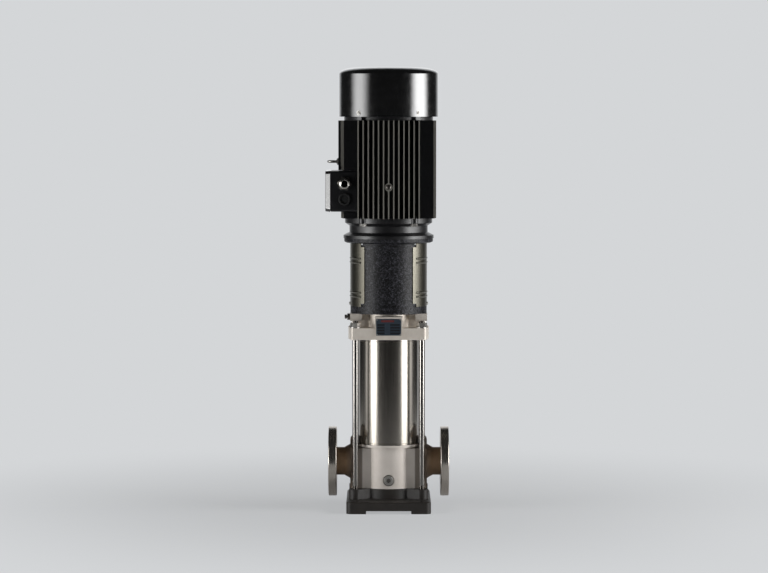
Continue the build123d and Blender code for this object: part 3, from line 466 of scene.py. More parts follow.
nut_height = nut_high.z - nut_low.z
nut = nut_blank("stay_nut", 0.024, nut_height - 0.003, rod_radius - 0.0003)
nuts = copies(
    nut, "stay_bolt_nuts_hex",
    [(x, y, nut_low.z + 0.003) for x, y, _ in rod_spots], rolls=(0.35, 0.1, 0.6, 0.2),
)
round_edges(nuts, 0.0003, 2, 30)
fit(nuts, "root", "nut_steel", plain_steel, "stay_bolt_nuts")
washer = turn(
    "stay_washer",
    [(rod_radius + 0.0004, 0), (0.0145, 0), (0.015, 0.0005), (0.015, 0.0025), (0.0145, 0.003),
     (rod_radius + 0.0004, 0.003), (rod_radius + 0.0004, 0)],
    40,
)
washers = copies(washer, "stay_bolt_washers", [(x, y, nut_low.z) for x, y, _ in rod_spots])
make_active(washers)
bpy.ops.object.shade_smooth_by_angle(angle=radians(30))
fit(washers, "root", "nut_steel", plain_steel)

# ---------------------------------------------------------------- pump head
# Cast stainless steel like the casing but paler, with a fine sand texture and
# rounded edges. Its pads carry the motor stool.
sand_steel, tree, shader, place = new_finish(
    "sand_cast_stainless", {"Metallic": 0.45, "Roughness": 0.5}
)
cloud = add_node(
    tree, "ShaderNodeTexNoise", {"Scale": 1 / 0.02, "Detail": 4.0}, {"Vector": (place, "Object")}
)
grit = add_node(
    tree, "ShaderNodeTexNoise", {"Scale": 1 / 0.0012, "Detail": 4.0, "Roughness": 0.7},
    {"Vector": (place, "Object")},
)
both = add_node(
    tree, "ShaderNodeMath", {"operation": "MULTIPLY_ADD", 1: 0.5}, {0: (grit, "Fac"), 2: (cloud, "Fac")}
)
add_node(
    tree, "ShaderNodeMixRGB", {"Color1": colour("d2c8bb"), "Color2": colour("efe8df")},
    {"Fac": (cloud, "Fac")}, (shader, "Base Color"),
)
add_node(
    tree, "ShaderNodeMapRange", {"To Min": 0.4, "To Max": 0.6}, {"Value": (grit, "Fac")},
    (shader, "Roughness"),
)
add_node(
    tree, "ShaderNodeBump", {"Strength": 0.35, "Distance": 0.0005}, {"Height": (both, "Value")},
    (shader, "Normal"),
)

head = cast_copy("pump_head", "pump_head_casting")
round_edges(head, 0.0018, 3, 40)
fit(head, "root", "head_cast", sand_steel, "pump_head")

# ---------------------------------------------------------------- nameplate
# Thin anodised plate, blue grey, held by four small drive rivets. Its printed
# band and table fields are left blank.
anodised_plate, tree, shader, place = new_finish(
    "anodised_aluminium_plate", {"Metallic": 0.8, "Roughness": 0.36}
)
brush = add_node(tree, "ShaderNodeMapping", {"Scale": (0.02, 1.0, 1.0)}, {"Vector": (place, "Object")})
grain = add_node(
    tree, "ShaderNodeTexNoise", {"Scale": 1 / 0.0006, "Detail": 2.0}, {"Vector": (brush, "Vector")}
)
add_node(
    tree, "ShaderNodeMixRGB", {"Color1": colour("46525f"), "Color2": colour("5d6a77")},
    {"Fac": (grain, "Fac")}, (shader, "Base Color"),
)
inks = []
for ink_name, dark, light in (("dim_red_ink", "5b2a2b", "74393a"), ("dark_ink", "171a1f", "23272e")):
    ink, tree, shader, place = new_finish(ink_name, {"Metallic": 0.2, "Roughness": 0.4})
    speck = add_node(
        tree, "ShaderNodeTexNoise", {"Scale": 1 / 0.0015, "Detail": 3.0}, {"Vector": (place, "Object")}
    )
    add_node(
        tree, "ShaderNodeMixRGB", {"Color1": colour(dark), "Color2": colour(light)},
        {"Fac": (speck, "Fac")}, (shader, "Base Color"),
    )
    inks.append(ink)

low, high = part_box("nameplate")
bpy.ops.mesh.primitive_cube_add(size=1, location=(low + high) / 2, scale=high - low)
badge = bpy.context.object
badge.name = "nameplate_sheet"
bpy.ops.object.transform_apply(location=True, rotation=True, scale=True)
# Cut lines across the front, then paint the fields between them.
width = high.x - low.x
tall = high.z - low.z
columns = [low.x + width * part for part in (0.05, 0.2, 0.34, 0.56, 0.72, 0.95)]
rows = [low.z + tall * part for part in (0.07, 0.2, 0.24, 0.37, 0.41, 0.54, 0.58, 0.7, 0.8, 0.93)]
bpy.ops.object.mode_set(mode="EDIT")
for x in columns:
    bpy.ops.mesh.select_all(action="SELECT")
    bpy.ops.mesh.bisect(plane_co=(x, 0, 0), plane_no=(1, 0, 0))
for z in rows:
    bpy.ops.mesh.select_all(action="SELECT")
    bpy.ops.mesh.bisect(plane_co=(0, 0, z), plane_no=(0, 0, 1))
bpy.ops.object.mode_set(mode="OBJECT")
for finish in (anodised_plate, *inks):
    badge.data.materials.append(finish)
for face in badge.data.polygons:
    across, up = face.center.x, face.center.z
    if face.normal.y > -0.5 or not columns[0] < across < columns[-1]:
        continue
    if rows[-2] < up < rows[-1] and columns[1] < across < columns[4]:
        face.material_index = 1
    for first, last in ((0, 1), (2, 3), (4, 5), (6, 7)):
        if rows[first] < up < rows[last] and not columns[2] < across < columns[3]:
            face.material_index = 2
fit(badge, "root", "nameplate_metal", None, "nameplate")
rivet = turn(
    "rivet", [(0, -0.001), (0.0014, -0.001), (0.0014, 0), (0.0012, 0.0006), (0.0007, 0.0009), (0, 0.001)], 16
)
rivets = copies(
    rivet, "nameplate_rivets",
    [(x, low.y, z) for x in (low.x + 0.0025, high.x - 0.0025) for z in (low.z + 0.0025, high.z - 0.0025)],
    (0, -1, 0),
)
fit(rivets, "root", "plug_steel", plain_steel)

# ----------------------------------------------------- vent plug and spindle
# Stainless hexagon plug in the head's suction side, with a small spindle and
# round knob that lets trapped air out.
for node_name, body in (("vent_plug", "root"), ("vent_spindle", "vent_spindle")):
    vent = cast_copy(node_name, f"{node_name}_turned")
    round_edges(vent, 0.0006, 2)
    fit(vent, body, "vent_steel", dull_steel, node_name)

# --------------------------------------------------------------- motor stool
# Grey iron casting with an open bell of two columns between a round foot and a
# round flange, under black crinkle paint that dries in a fine wrinkled skin.
crinkle_paint, tree, shader, place = new_finish(
    "black_crinkle_paint", {"Roughness": 0.5, "IOR": 1.5, "Specular IOR Level": 0.25}
)
# The real skin wrinkles every 2 mm or so, drawn here at 5 mm so that it shows.
wrinkle = add_node(
    tree, "ShaderNodeTexNoise", {"Scale": 1 / 0.005, "Detail": 3.0, "Roughness": 0.6, "Distortion": 1.4},
    {"Vector": (place, "Object")},
)
speck = add_node(
    tree, "ShaderNodeTexVoronoi", {"Scale": 1 / 0.004}, {"Vector": (place, "Object")}
)
crest_highlight = add_node(
    tree, "ShaderNodeMapRange", {"From Min": 0.48, "From Max": 0.66}, {"Value": (wrinkle, "Fac")}
)
skin = add_node(
    tree, "ShaderNodeMath", {"operation": "MULTIPLY_ADD", 1: 0.5},
    {0: (speck, "Distance"), 2: (wrinkle, "Fac")},
)
# The wrinkle crests are painted lighter grey, a painted highlight on the raised skin.
add_node(
    tree, "ShaderNodeMixRGB", {"Color1": colour("060607"), "Color2": colour("48484e")},
    {"Fac": (crest_highlight, "Result")}, (shader, "Base Color"),
)
add_node(
    tree, "ShaderNodeMapRange", {"To Min": 0.3, "To Max": 0.55}, {"Value": (speck, "Distance")},
    (shader, "Roughness"),
)
add_node(
    tree, "ShaderNodeBump", {"Strength": 0.4, "Distance": 0.0008}, {"Height": (skin, "Value")},
    (shader, "Normal"),
)

stool = cast_copy("motor_stool", "motor_stool_casting")
round_edges(stool, 0.0016, 2, 40)
fit(stool, "root", "stool_crinkle_paint", crinkle_paint, "motor_stool")

stool_low, stool_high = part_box("stool_bolts")
bolt_x, bolt_y = stool_high.x - 0.018 / sqrt(3), stool_high.y - 0.009
bolt = nut_blank("stool_bolt", 0.018, 0.008)
bolts = copies(
    bolt, "stool_bolts_hex",
    [(x, y, stool_high.z - 0.008) for x in (-bolt_x, bolt_x) for y in (-bolt_y, bolt_y)],
    rolls=(0.2, 0.5, 0.1, 0.9),
)
round_edges(bolts, 0.0003, 2, 30)
fit(bolts, "root", "bolt_steel", plain_steel, "stool_bolts")

# ------------------------------------------------------------ coupling guards
# Two half-round covers of stainless sheet, each with two pairs of pressed beads
# and a folded lip that laps the stool's columns, held by a screw at each side.
rolled_sheet, tree, shader, place = new_finish(
    "satin_stainless_sheet", {"Metallic": 1.0, "Roughness": 0.3}
)
stretch = add_node(
    tree, "ShaderNodeMapping", {"Scale": (0.03, 0.03, 1.0)}, {"Vector": (place, "Object")}
)
grain = add_node(
    tree, "ShaderNodeTexNoise", {"Scale": 1 / 0.0007, "Detail": 3.0}, {"Vector": (stretch, "Vector")}
)
add_node(
    tree, "ShaderNodeMixRGB", {"Color1": colour("67645c"), "Color2": colour("838074")},
    {"Fac": (grain, "Fac")}, (shader, "Base Color"),
)
add_node(
    tree, "ShaderNodeMapRange", {"To Min": 0.24, "To Max": 0.4}, {"Value": (grain, "Fac")},
    (shader, "Roughness"),
)

low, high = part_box("coupling_guard_right")
radius = high.x - 0.0008
edge_angle = acos(0.074 / high.x)
lip_angle = acos(0.065 / high.x)
beads = []
for middle in (low.z + 0.0265, low.z + 0.0375, low.z + 0.1165, low.z + 0.1275):
    for step in range(7):
        swell = 0.0016 * sin(pi * step / 6)
        beads.append((radius + swell, middle - 0.0026 + 0.0052 * step / 6))
sheet = [(radius, low.z), *beads, (radius, high.z)]
flat = [(radius, low.z + 0.009), (radius, high.z - 0.009)]
for side, side_name in ((0, "right"), (pi, "left")):
    parts = []
    for part, points, start, sweep in (
        ("shell", sheet, -edge_angle, 2 * edge_angle),
        ("front_lip", flat, -lip_angle, lip_angle - edge_angle),
        ("rear_lip", flat, edge_angle, lip_angle - edge_angle),
    ):
        panel = turn(part, points, 40 if part == "shell" else 6, sweep)
        parts.append(set_down(panel, (0, 0, 0), roll=side + start))
    bpy.ops.object.select_all(action="DESELECT")
    for panel in parts:
        panel.select_set(True)
    guard = parts[0]
    bpy.context.view_layer.objects.active = guard
    bpy.ops.object.join()
    guard.name = f"coupling_guard_{side_name}_sheet"
    apply_modifier(guard, "weld", "WELD", merge_threshold=1e-5)
    apply_modifier(guard, "gauge", "SOLIDIFY", thickness=0.0012, offset=-1.0)
    make_active(guard)
    bpy.ops.object.shade_smooth_by_angle(angle=radians(35))
    fit(guard, "root", "guard_steel", rolled_sheet, f"coupling_guard_{side_name}")

guard_screw = turn(
    "guard_screw",
    [(0, -0.0015), (0.0022, -0.0015), (0.0022, 0), (0.0042, 0), (0.0042, 0.0012), (0.0036, 0.0024),
     (0.0022, 0.003), (0, 0.0032)],
    24,
)
guard_screws = copies(
    guard_screw, "coupling_guard_screws",
    [(side * radius, 0, low.z + 0.006) for side in (-1, 1)], [(-1, 0, 0), (1, 0, 0)],
)
make_active(guard_screws)
bpy.ops.object.shade_smooth_by_angle(angle=radians(35))
fit(guard_screws, "root", "bolt_steel", plain_steel)

# ---------------------------------------------------- shafts and the coupling
# Ground steel shafts clamped in a split iron coupling by four cap screws. They
# turn behind the guards.
ground_steel, tree, shader, place = new_finish("ground_steel", {"Metallic": 1.0, "Roughness": 0.2})
stretch = add_node(
    tree, "ShaderNodeMapping", {"Scale": (0.05, 0.05, 1.0)}, {"Vector": (place, "Object")}
)
grain = add_node(
    tree, "ShaderNodeTexNoise", {"Scale": 1 / 0.0006, "Detail": 2.0}, {"Vector": (stretch, "Vector")}
)
add_node(
    tree, "ShaderNodeMixRGB", {"Color1": colour("a8a8a8"), "Color2": colour("c6c6c6")},
    {"Fac": (grain, "Fac")}, (shader, "Base Color"),
)
for node_name, body, slot in (
    ("pump_shaft", "rotor", "shaft_steel"),
    ("motor_shaft", "rotor", "shaft_steel"),
    ("coupling_half_front", "rotor", "coupling_iron"),
    ("coupling_half_rear", "rotor", "coupling_iron"),
    ("coupling_screws", "rotor", "bolt_steel"),
    ("seal_cover", "root", "cover_steel"),
    ("seal_ring", "rotor", "seal_carbon"),
):
    piece = cast_copy(node_name, f"{node_name}_machined")
    round_edges(piece, 0.0005, 2)
    fit(piece, body, slot, ground_steel, node_name)

# ---------------------------------------------------------- drive-end shield
# Grey iron bell between the stool and the finned frame, with a square-edged
# flange below and pockets for four bolt heads. Black enamel sprayed over the
# sand skin, so it shines softly with a little orange peel.
gloss_enamel, tree, shader, place = new_finish(
    "black_gloss_enamel", {"Roughness": 0.34, "IOR": 1.52, "Coat Weight": 0.35, "Coat Roughness": 0.3}
)
peel = add_node(
    tree, "ShaderNodeTexNoise", {"Scale": 1 / 0.006, "Detail": 2.0}, {"Vector": (place, "Object")}
)
dust = add_node(
    tree, "ShaderNodeTexNoise", {"Scale": 1 / 0.03, "Detail": 5.0}, {"Vector": (place, "Object")}
)
add_node(
    tree, "ShaderNodeMixRGB", {"Color1": colour("0b0b0c"), "Color2": colour("19191b")},
    {"Fac": (dust, "Fac")}, (shader, "Base Color"),
)
add_node(
    tree, "ShaderNodeMapRange", {"To Min": 0.28, "To Max": 0.46}, {"Value": (dust, "Fac")},
    (shader, "Roughness"),
)
add_node(
    tree, "ShaderNodeBump", {"Strength": 0.1, "Distance": 0.0006}, {"Height": (peel, "Fac")},
    (shader, "Normal"),
)

shield = cast_copy("drive_end_shield", "drive_end_shield_casting")
round_edges(shield, 0.0016, 3, 30)
fit(shield, "root", "motor_gloss_paint", gloss_enamel, "drive_end_shield")

for node_name, flats, slot in (
    ("motor_flange_bolts", 0.016, "bolt_steel"), ("shield_bolts", 0.016, "shield_bolt_steel"),
):
    low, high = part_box(node_name)
    bolt_x, bolt_y = high.x - flats / sqrt(3), high.y - flats / 2
    bolts = copies(
        nut_blank(node_name, flats, 0.008), f"{node_name}_hex",
        [(x, y, low.z) for x in (-bolt_x, bolt_x) for y in (-bolt_y, bolt_y)],
        rolls=(0.3, 0.15, 0.7, 0.45),
    )
    round_edges(bolts, 0.0003, 2, 30)
    fit(bolts, "root", slot, plain_steel, node_name)

# --------------------------------------------------------------- motor frame
# Aluminium die casting with straight cooling fins on four sides and a pad for
# the eyebolt. The fins' edges are painted light grey, a painted highlight where they shine.
fin_enamel, tree, shader, place = new_finish(
    "black_enamel_on_aluminium", {"Roughness": 0.26, "IOR": 1.5}
)
cast_skin = add_node(
    tree, "ShaderNodeTexNoise", {"Scale": 1 / 0.0018, "Detail": 4.0}, {"Vector": (place, "Object")}
)
skin = add_node(
    tree, "ShaderNodeMixRGB", {"Color1": colour("0a0a0b"), "Color2": colour("171719")},
    {"Fac": (cast_skin, "Fac")},
)
apart = add_node(tree, "ShaderNodeSeparateXYZ", {}, {"Vector": (place, "Object")})
tips = []
for direction in ("X", "Y"):
    out = add_node(tree, "ShaderNodeMath", {"operation": "ABSOLUTE"}, {0: (apart, direction)})
    tips.append(out)
reach = add_node(
    tree, "ShaderNodeMath", {"operation": "MAXIMUM"}, {0: (tips[0], "Value"), 1: (tips[1], "Value")}
)
# The outer fins are 6.5 mm shorter than the middle one, along an arc.
fin_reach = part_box("motor_frame")[1].y
across = add_node(tree, "ShaderNodeMath", {"operation": "MINIMUM"}, {0: (tips[0], "Value"), 1: (tips[1], "Value")})
squared = add_node(
    tree, "ShaderNodeMath", {"operation": "MULTIPLY"}, {0: (across, "Value"), 1: (across, "Value")}
)
reach = add_node(
    tree, "ShaderNodeMath", {"operation": "MULTIPLY_ADD", 1: 0.0065 / 0.0801**2},
    {0: (squared, "Value"), 2: (reach, "Value")},
)
tip_band = add_node(
    tree, "ShaderNodeMapRange", {"From Min": fin_reach - 0.0022, "From Max": fin_reach - 0.0008},
    {"Value": (reach, "Value")},
)
finned = add_node(
    tree, "ShaderNodeMapRange", {"From Min": 0.0885, "From Max": 0.0865}, {"Value": (across, "Value")}
)
tip_highlight = add_node(
    tree, "ShaderNodeMath", {"operation": "MULTIPLY"}, {0: (tip_band, "Result"), 1: (finned, "Result")}
)
short = add_node(
    tree, "ShaderNodeMath", {"operation": "LESS_THAN", 1: fin_reach + 0.0015}, {0: (reach, "Value")}
)
tip_highlight = add_node(
    tree, "ShaderNodeMath", {"operation": "MULTIPLY"}, {0: (tip_highlight, "Value"), 1: (short, "Value")}
)
# The fin tips are painted light grey, a painted highlight along their edges.
add_node(
    tree, "ShaderNodeMixRGB", {"Color2": colour("77756f")},
    {"Fac": (tip_highlight, "Value"), "Color1": (skin, "Color")}, (shader, "Base Color"),
)
add_node(
    tree, "ShaderNodeMapRange", {"To Min": 0.2, "To Max": 0.42}, {"Value": (cast_skin, "Fac")},
    (shader, "Roughness"),
)
add_node(
    tree, "ShaderNodeBump", {"Strength": 0.18, "Distance": 0.0004}, {"Height": (cast_skin, "Fac")},
    (shader, "Normal"),
)

fins = cast_copy("motor_frame", "motor_frame_casting")
round_edges(fins, 0.0012, 3, 40)
fit(fins, "root", "frame_gloss_paint", fin_enamel, "motor_frame")

low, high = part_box("earth_screw")
spot = ((low.x + high.x) / 2, high.y - 0.012, (low.z + high.z) / 2)
screw = turn(
    "earth_screw_head",
    [(0, -0.0115), (0.0038, -0.0115), (0.0038, 0), (0.0075, 0), (0.0075, 0.0012), (0.0062, 0.0013),
     (0.0062, 0.0026), (0.005, 0.0036), (0.0035, 0.004), (0, 0.004)],
    40,
)
bpy.ops.mesh.primitive_cube_add(size=1, location=(0, 0, 0.004), scale=(0.014, 0.0014, 0.003))
bpy.ops.object.transform_apply(location=True, rotation=True, scale=True)
cut_away(screw, bpy.context.object)
set_down(screw, (spot[0], low.y + 0.004, spot[2]), (0, -1, 0), 0.8)
round_edges(screw, 0.0002, 2, 30)
fit(screw, "root", "earth_brass", dull_steel, "earth_screw")

# ------------------------------------------------------------------- eyebolt
# Forged lifting eye with a round collar, zinc plated.
low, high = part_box("eyebolt")
bar = (high.y - low.y) / 2
ring_z = (low.z + high.z) / 2
collar_x = low.x + 0.026 + 0.004
bpy.ops.mesh.primitive_torus_add(
    major_radius=0.0095, minor_radius=0.0035, major_segments=48, minor_segments=16,
    location=(low.x + 0.013, 0, ring_z), rotation=(0, 0, 0),
)
eye = bpy.context.object
bpy.ops.object.transform_apply(location=True, rotation=True, scale=True)
eye.name = "eyebolt_forged"
shank = turn(
    "shank",
    [(0, -0.017), (0.0039, -0.017), (0.0039, 0), (0.009, 0), (0.009, 0.003), (0.0078, 0.004),
     (0.005, 0.0045), (0.0036, 0.0075), (0, 0.0095)],
    32,
)
set_down(shank, (collar_x, 0, ring_z), (-1, 0, 0))
bpy.ops.object.select_all(action="DESELECT")
eye.select_set(True)
shank.select_set(True)
bpy.context.view_layer.objects.active = eye
bpy.ops.object.join()
make_active(eye)
bpy.ops.object.shade_smooth_by_angle(angle=radians(35))
fit(eye, "root", "eye_steel", plain_steel, "eyebolt")

# ------------------------------------------------- rear shield, fan and cowl
# Black cast rear shield, moulded fan, and a deep-drawn sheet cowl with a soft
# shoulder, radial air slots and four screws. Its enamel is the smoothest part.
rear = cast_copy("rear_end_shield", "rear_end_shield_casting")
round_edges(rear, 0.0012, 2, 30)
fit(rear, "root", "motor_gloss_paint", gloss_enamel, "rear_end_shield")

moulded_plastic, tree, shader, place = new_finish("moulded_black_plastic", {"Roughness": 0.5, "IOR": 1.46})
grit = add_node(
    tree, "ShaderNodeTexNoise", {"Scale": 1 / 0.0015, "Detail": 3.0}, {"Vector": (place, "Object")}
)
add_node(
    tree, "ShaderNodeMixRGB", {"Color1": colour("161616"), "Color2": colour("262626")},
    {"Fac": (grit, "Fac")}, (shader, "Base Color"),
)
impeller = cast_copy("fan", "fan_moulded")
round_edges(impeller, 0.0008, 2, 30)
fit(impeller, "rotor", "fan_plastic", moulded_plastic, "fan")

cowl_enamel, tree, shader, place = new_finish(
    "black_enamel_on_drawn_sheet",
    {"Roughness": 0.2, "IOR": 1.6, "Coat Weight": 1.0, "Coat Roughness": 0.09, "Coat IOR": 1.8},
)
press = add_node(
    tree, "ShaderNodeTexNoise", {"Scale": 1 / 0.018, "Detail": 3.0}, {"Vector": (place, "Object")}
)
add_node(
    tree, "ShaderNodeMixRGB", {"Color1": colour("070707"), "Color2": colour("121213")},
    {"Fac": (press, "Fac")}, (shader, "Base Color"),
)
add_node(
    tree, "ShaderNodeMapRange", {"To Min": 0.1, "To Max": 0.32}, {"Value": (press, "Fac")},
    (shader, "Roughness"),
)
add_node(
    tree, "ShaderNodeBump", {"Strength": 0.3, "Distance": 0.002}, {"Height": (press, "Fac")},
    (shader, "Normal"),
)

low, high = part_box("fan_cowl")
radius = high.x
shoulder_out, shoulder_up = 0.050, 0.0175
outside = []
for step in range(13):
    angle = radians(90 * step / 12)
    outside.append((radius - shoulder_out * (1 - cos(angle)), high.z - shoulder_up * (1 - sin(angle))))
inside = [(r - 0.002, z - 0.002) for r, z in reversed(outside)]
cowl = turn(
    "fan_cowl_drawn",
    [(radius - 0.002, low.z), (radius, low.z), (radius, low.z + 0.004), *outside, (0, high.z),
     (0, high.z - 0.002), *inside, (radius - 0.002, low.z)],
    160,
)
bpy.ops.mesh.primitive_cube_add(
    size=1, location=(0.049, 0, high.z - 0.002), scale=(0.054, 0.005, 0.012)
)
slot_tool = bpy.context.object
bpy.ops.object.transform_apply(location=True, rotation=True, scale=True)
bpy.ops.object.mode_set(mode="EDIT")
bpy.ops.mesh.select_all(action="DESELECT")
shape = bmesh.from_edit_mesh(slot_tool.data)
for edge in shape.edges:
    edge.select = abs(edge.verts[0].co.z - edge.verts[1].co.z) > 0.005
bmesh.update_edit_mesh(slot_tool.data)
bpy.ops.mesh.bevel(offset=0.00245, segments=4, affect="EDGES")
bpy.ops.object.mode_set(mode="OBJECT")
slots = [slot_tool]
for number in range(1, 16):
    one = bpy.data.objects.new("slot_tool", slot_tool.data.copy())
    bpy.context.scene.collection.objects.link(one)
    slots.append(set_down(one, (0, 0, 0), roll=2 * pi * number / 16))
bpy.ops.object.select_all(action="DESELECT")
for one in slots:
    one.select_set(True)
bpy.context.view_layer.objects.active = slot_tool
bpy.ops.object.join()
cut_away(cowl, slot_tool)
make_active(cowl)
bpy.ops.object.shade_smooth_by_angle(angle=radians(30))
fit(cowl, "root", "cowl_gloss_paint", cowl_enamel, "fan_cowl")

cowl_screw = turn(
    "cowl_screw",
    [(0, -0.003), (0.0064, -0.003), (0.0064, 0.0006), (0.006, 0.001), (0.0042, 0.001), (0.0042, 0.0022),
     (0.0034, 0.0032), (0.002, 0.0036), (0, 0.0036)],
    32,
)
for turned_by in (0.0, pi / 2):
    bpy.ops.mesh.primitive_cube_add(size=1, location=(0, 0, 0.0036), scale=(0.0045, 0.001, 0.003))
    bpy.context.object.rotation_euler = (0, 0, turned_by)
    bpy.ops.object.transform_apply(location=True, rotation=True, scale=True)
    cut_away(cowl_screw, bpy.context.object)
ways = [
    (sx * sin(radians(36.5)), sy * cos(radians(36.5)), 0) for sx in (-1, 1) for sy in (-1, 1)
]
screws = copies(
    cowl_screw, "fan_cowl_screws",
    [(x * radius * 0.9985, y * radius * 0.9985, low.z + 0.010) for x, y, _ in ways], ways,
    rolls=(0.4, 0.1, 0.9, 0.6),
)
make_active(screws)
bpy.ops.object.shade_smooth_by_angle(angle=radians(35))
fit(screws, "root", "bolt_steel", plain_steel)

# ------------------------------------------------------------- terminal box
# Die-cast box on the motor's suction side with a screwed lid on a rubber gasket,
# a plated cable gland and a plastic blanking plug on its front.
box_enamel, tree, shader, place = new_finish(
    "black_enamel_on_die_casting", {"Roughness": 0.3, "IOR": 1.5}
)
cast_skin = add_node(
    tree, "ShaderNodeTexNoise", {"Scale": 1 / 0.0014, "Detail": 4.0}, {"Vector": (place, "Object")}
)
cloud = add_node(
    tree, "ShaderNodeTexNoise", {"Scale": 1 / 0.02, "Detail": 4.0}, {"Vector": (place, "Object")}
)
add_node(
    tree, "ShaderNodeMixRGB", {"Color1": colour("101011"), "Color2": colour("232325")},
    {"Fac": (cloud, "Fac")}, (shader, "Base Color"),
)
add_node(
    tree, "ShaderNodeMapRange", {"To Min": 0.22, "To Max": 0.44}, {"Value": (cast_skin, "Fac")},
    (shader, "Roughness"),
)
add_node(
    tree, "ShaderNodeBump", {"Strength": 0.2, "Distance": 0.0004}, {"Height": (cast_skin, "Fac")},
    (shader, "Normal"),
)

shell = cast_copy("terminal_box", "terminal_box_casting")
round_edges(shell, 0.0025, 3, 40)
fit(shell, "root", "box_gloss_paint", box_enamel, "terminal_box")

# The lid is drafted: its sides slope in, which catches the light, and it is as
# smooth as the cowl.
lid_low, lid_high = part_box("terminal_box_lid")
bpy.ops.mesh.primitive_cube_add(size=1, location=(lid_low + lid_high) / 2, scale=lid_high - lid_low)
lid = bpy.context.object
lid.name = "terminal_box_lid_casting"
bpy.ops.object.transform_apply(location=True, rotation=True, scale=True)
bpy.ops.object.mode_set(mode="EDIT")
bpy.ops.mesh.select_all(action="DESELECT")
shape = bmesh.from_edit_mesh(lid.data)
for edge in shape.edges:
    edge.select = abs(edge.verts[0].co.x - edge.verts[1].co.x) > 0.005
bmesh.update_edit_mesh(lid.data)
bpy.ops.mesh.bevel(offset=0.011, segments=6, affect="EDGES")
bpy.ops.mesh.select_all(action="DESELECT")
bpy.context.tool_settings.mesh_select_mode = (True, False, False)
shape = bmesh.from_edit_mesh(lid.data)
for corner in shape.verts:
    corner.select = corner.co.x < lid_low.x + 1e-5
shape.select_flush(True)
bmesh.update_edit_mesh(lid.data)
bpy.ops.transform.resize(
    value=(1, 0.904, 0.975), center_override=(lid_low.x, (lid_low.y + lid_high.y) / 2, (lid_low.z + lid_high.z) / 2)
)
bpy.ops.object.mode_set(mode="OBJECT")
round_edges(lid, 0.0012, 3, 30)
fit(lid, "root", "box_gloss_paint", cowl_enamel, "terminal_box_lid")

rubber, tree, shader, place = new_finish("black_rubber_sheet", {"Roughness": 0.75, "IOR": 1.5})
grit = add_node(
    tree, "ShaderNodeTexNoise", {"Scale": 1 / 0.001, "Detail": 2.0}, {"Vector": (place, "Object")}
)
add_node(
    tree, "ShaderNodeMixRGB", {"Color1": colour("141414"), "Color2": colour("202020")},
    {"Fac": (grit, "Fac")}, (shader, "Base Color"),
)
gasket = cast_copy("lid_gasket", "lid_gasket_sheet")
fit(gasket, "root", "gasket_rubber", rubber, "lid_gasket")

lid_screw = nut_blank("lid_screw", 0.008, 0.0035)
lid_screws = copies(
    lid_screw, "terminal_box_lid_screws",
    [(lid_low.x + 0.0036, y, z) for y in (lid_low.y + 0.016, lid_high.y - 0.016)
     for z in (lid_low.z + 0.016, lid_high.z - 0.016)],
    (-1, 0, 0),
)
round_edges(lid_screws, 0.0002, 2, 30)
fit(lid_screws, "root", "bolt_steel", plain_steel)

nickel_brass, tree, shader, place = new_finish("nickel_plated_brass", {"Metallic": 1.0, "Roughness": 0.14})
cloud = add_node(
    tree, "ShaderNodeTexNoise", {"Scale": 1 / 0.005, "Detail": 3.0}, {"Vector": (place, "Object")}
)
add_node(
    tree, "ShaderNodeMixRGB", {"Color1": colour("b5b1aa"), "Color2": colour("d6d2cb")},
    {"Fac": (cloud, "Fac")}, (shader, "Base Color"),
)
low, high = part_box("cable_gland")
centre_x, centre_z = (low.x + high.x) / 2, (low.z + high.z) / 2
body_nut = nut_blank("gland_body", 0.033, 0.008, 0.0092)
set_down(body_nut, (centre_x, low.y + 0.020, centre_z), (0, -1, 0), 0.4)
dome = turn(
    "gland_dome",
    [(0.009, -0.0120), (0.0128, -0.0120), (0.0128, 0.0078), (0.0156, 0.0078), (0.0165, 0.0088),
     (0.0165, 0.0112), (0.0162, 0.0132), (0.0154, 0.0154), (0.0142, 0.0173), (0.0127, 0.0188),
     (0.0110, 0.0198), (0.0100, 0.0200), (0.0092, 0.0194), (0.009, 0.0180), (0.009, -0.0120)],
    48,
)
set_down(dome, (centre_x, low.y + 0.020, centre_z), (0, -1, 0))
bpy.ops.object.select_all(action="DESELECT")
body_nut.select_set(True)
dome.select_set(True)
bpy.context.view_layer.objects.active = dome
bpy.ops.object.join()
dome.name = "cable_gland_plated"
make_active(dome)
bpy.ops.object.shade_smooth_by_angle(angle=radians(35))
dome.data.materials.append(nickel_brass)
dome.data.materials.append(dull_steel)
for face in dome.data.polygons:
    if face.center.y > low.y + 0.0118:
        face.material_index = 1
fit(dome, "root", "gland_metal", None, "cable_gland")

low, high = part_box("blanking_plug")
centre_x, centre_z = (low.x + high.x) / 2, (low.z + high.z) / 2
blank = turn(
    "blanking_plug_moulded",
    [(0, -0.0075), (0.0120, -0.0075), (0.0120, 0), (0.0165, 0), (0.0165, 0.0050), (0.0155, 0.0065),
     (0.0135, 0.0070), (0.0115, 0.0066), (0.0108, 0.0030), (0, 0.0030)],
    48,
)
set_down(blank, (centre_x, low.y + 0.007, centre_z), (0, -1, 0))
make_active(blank)
bpy.ops.object.shade_smooth_by_angle(angle=radians(35))
fit(blank, "root", "plug_plastic", moulded_plastic, "blanking_plug")

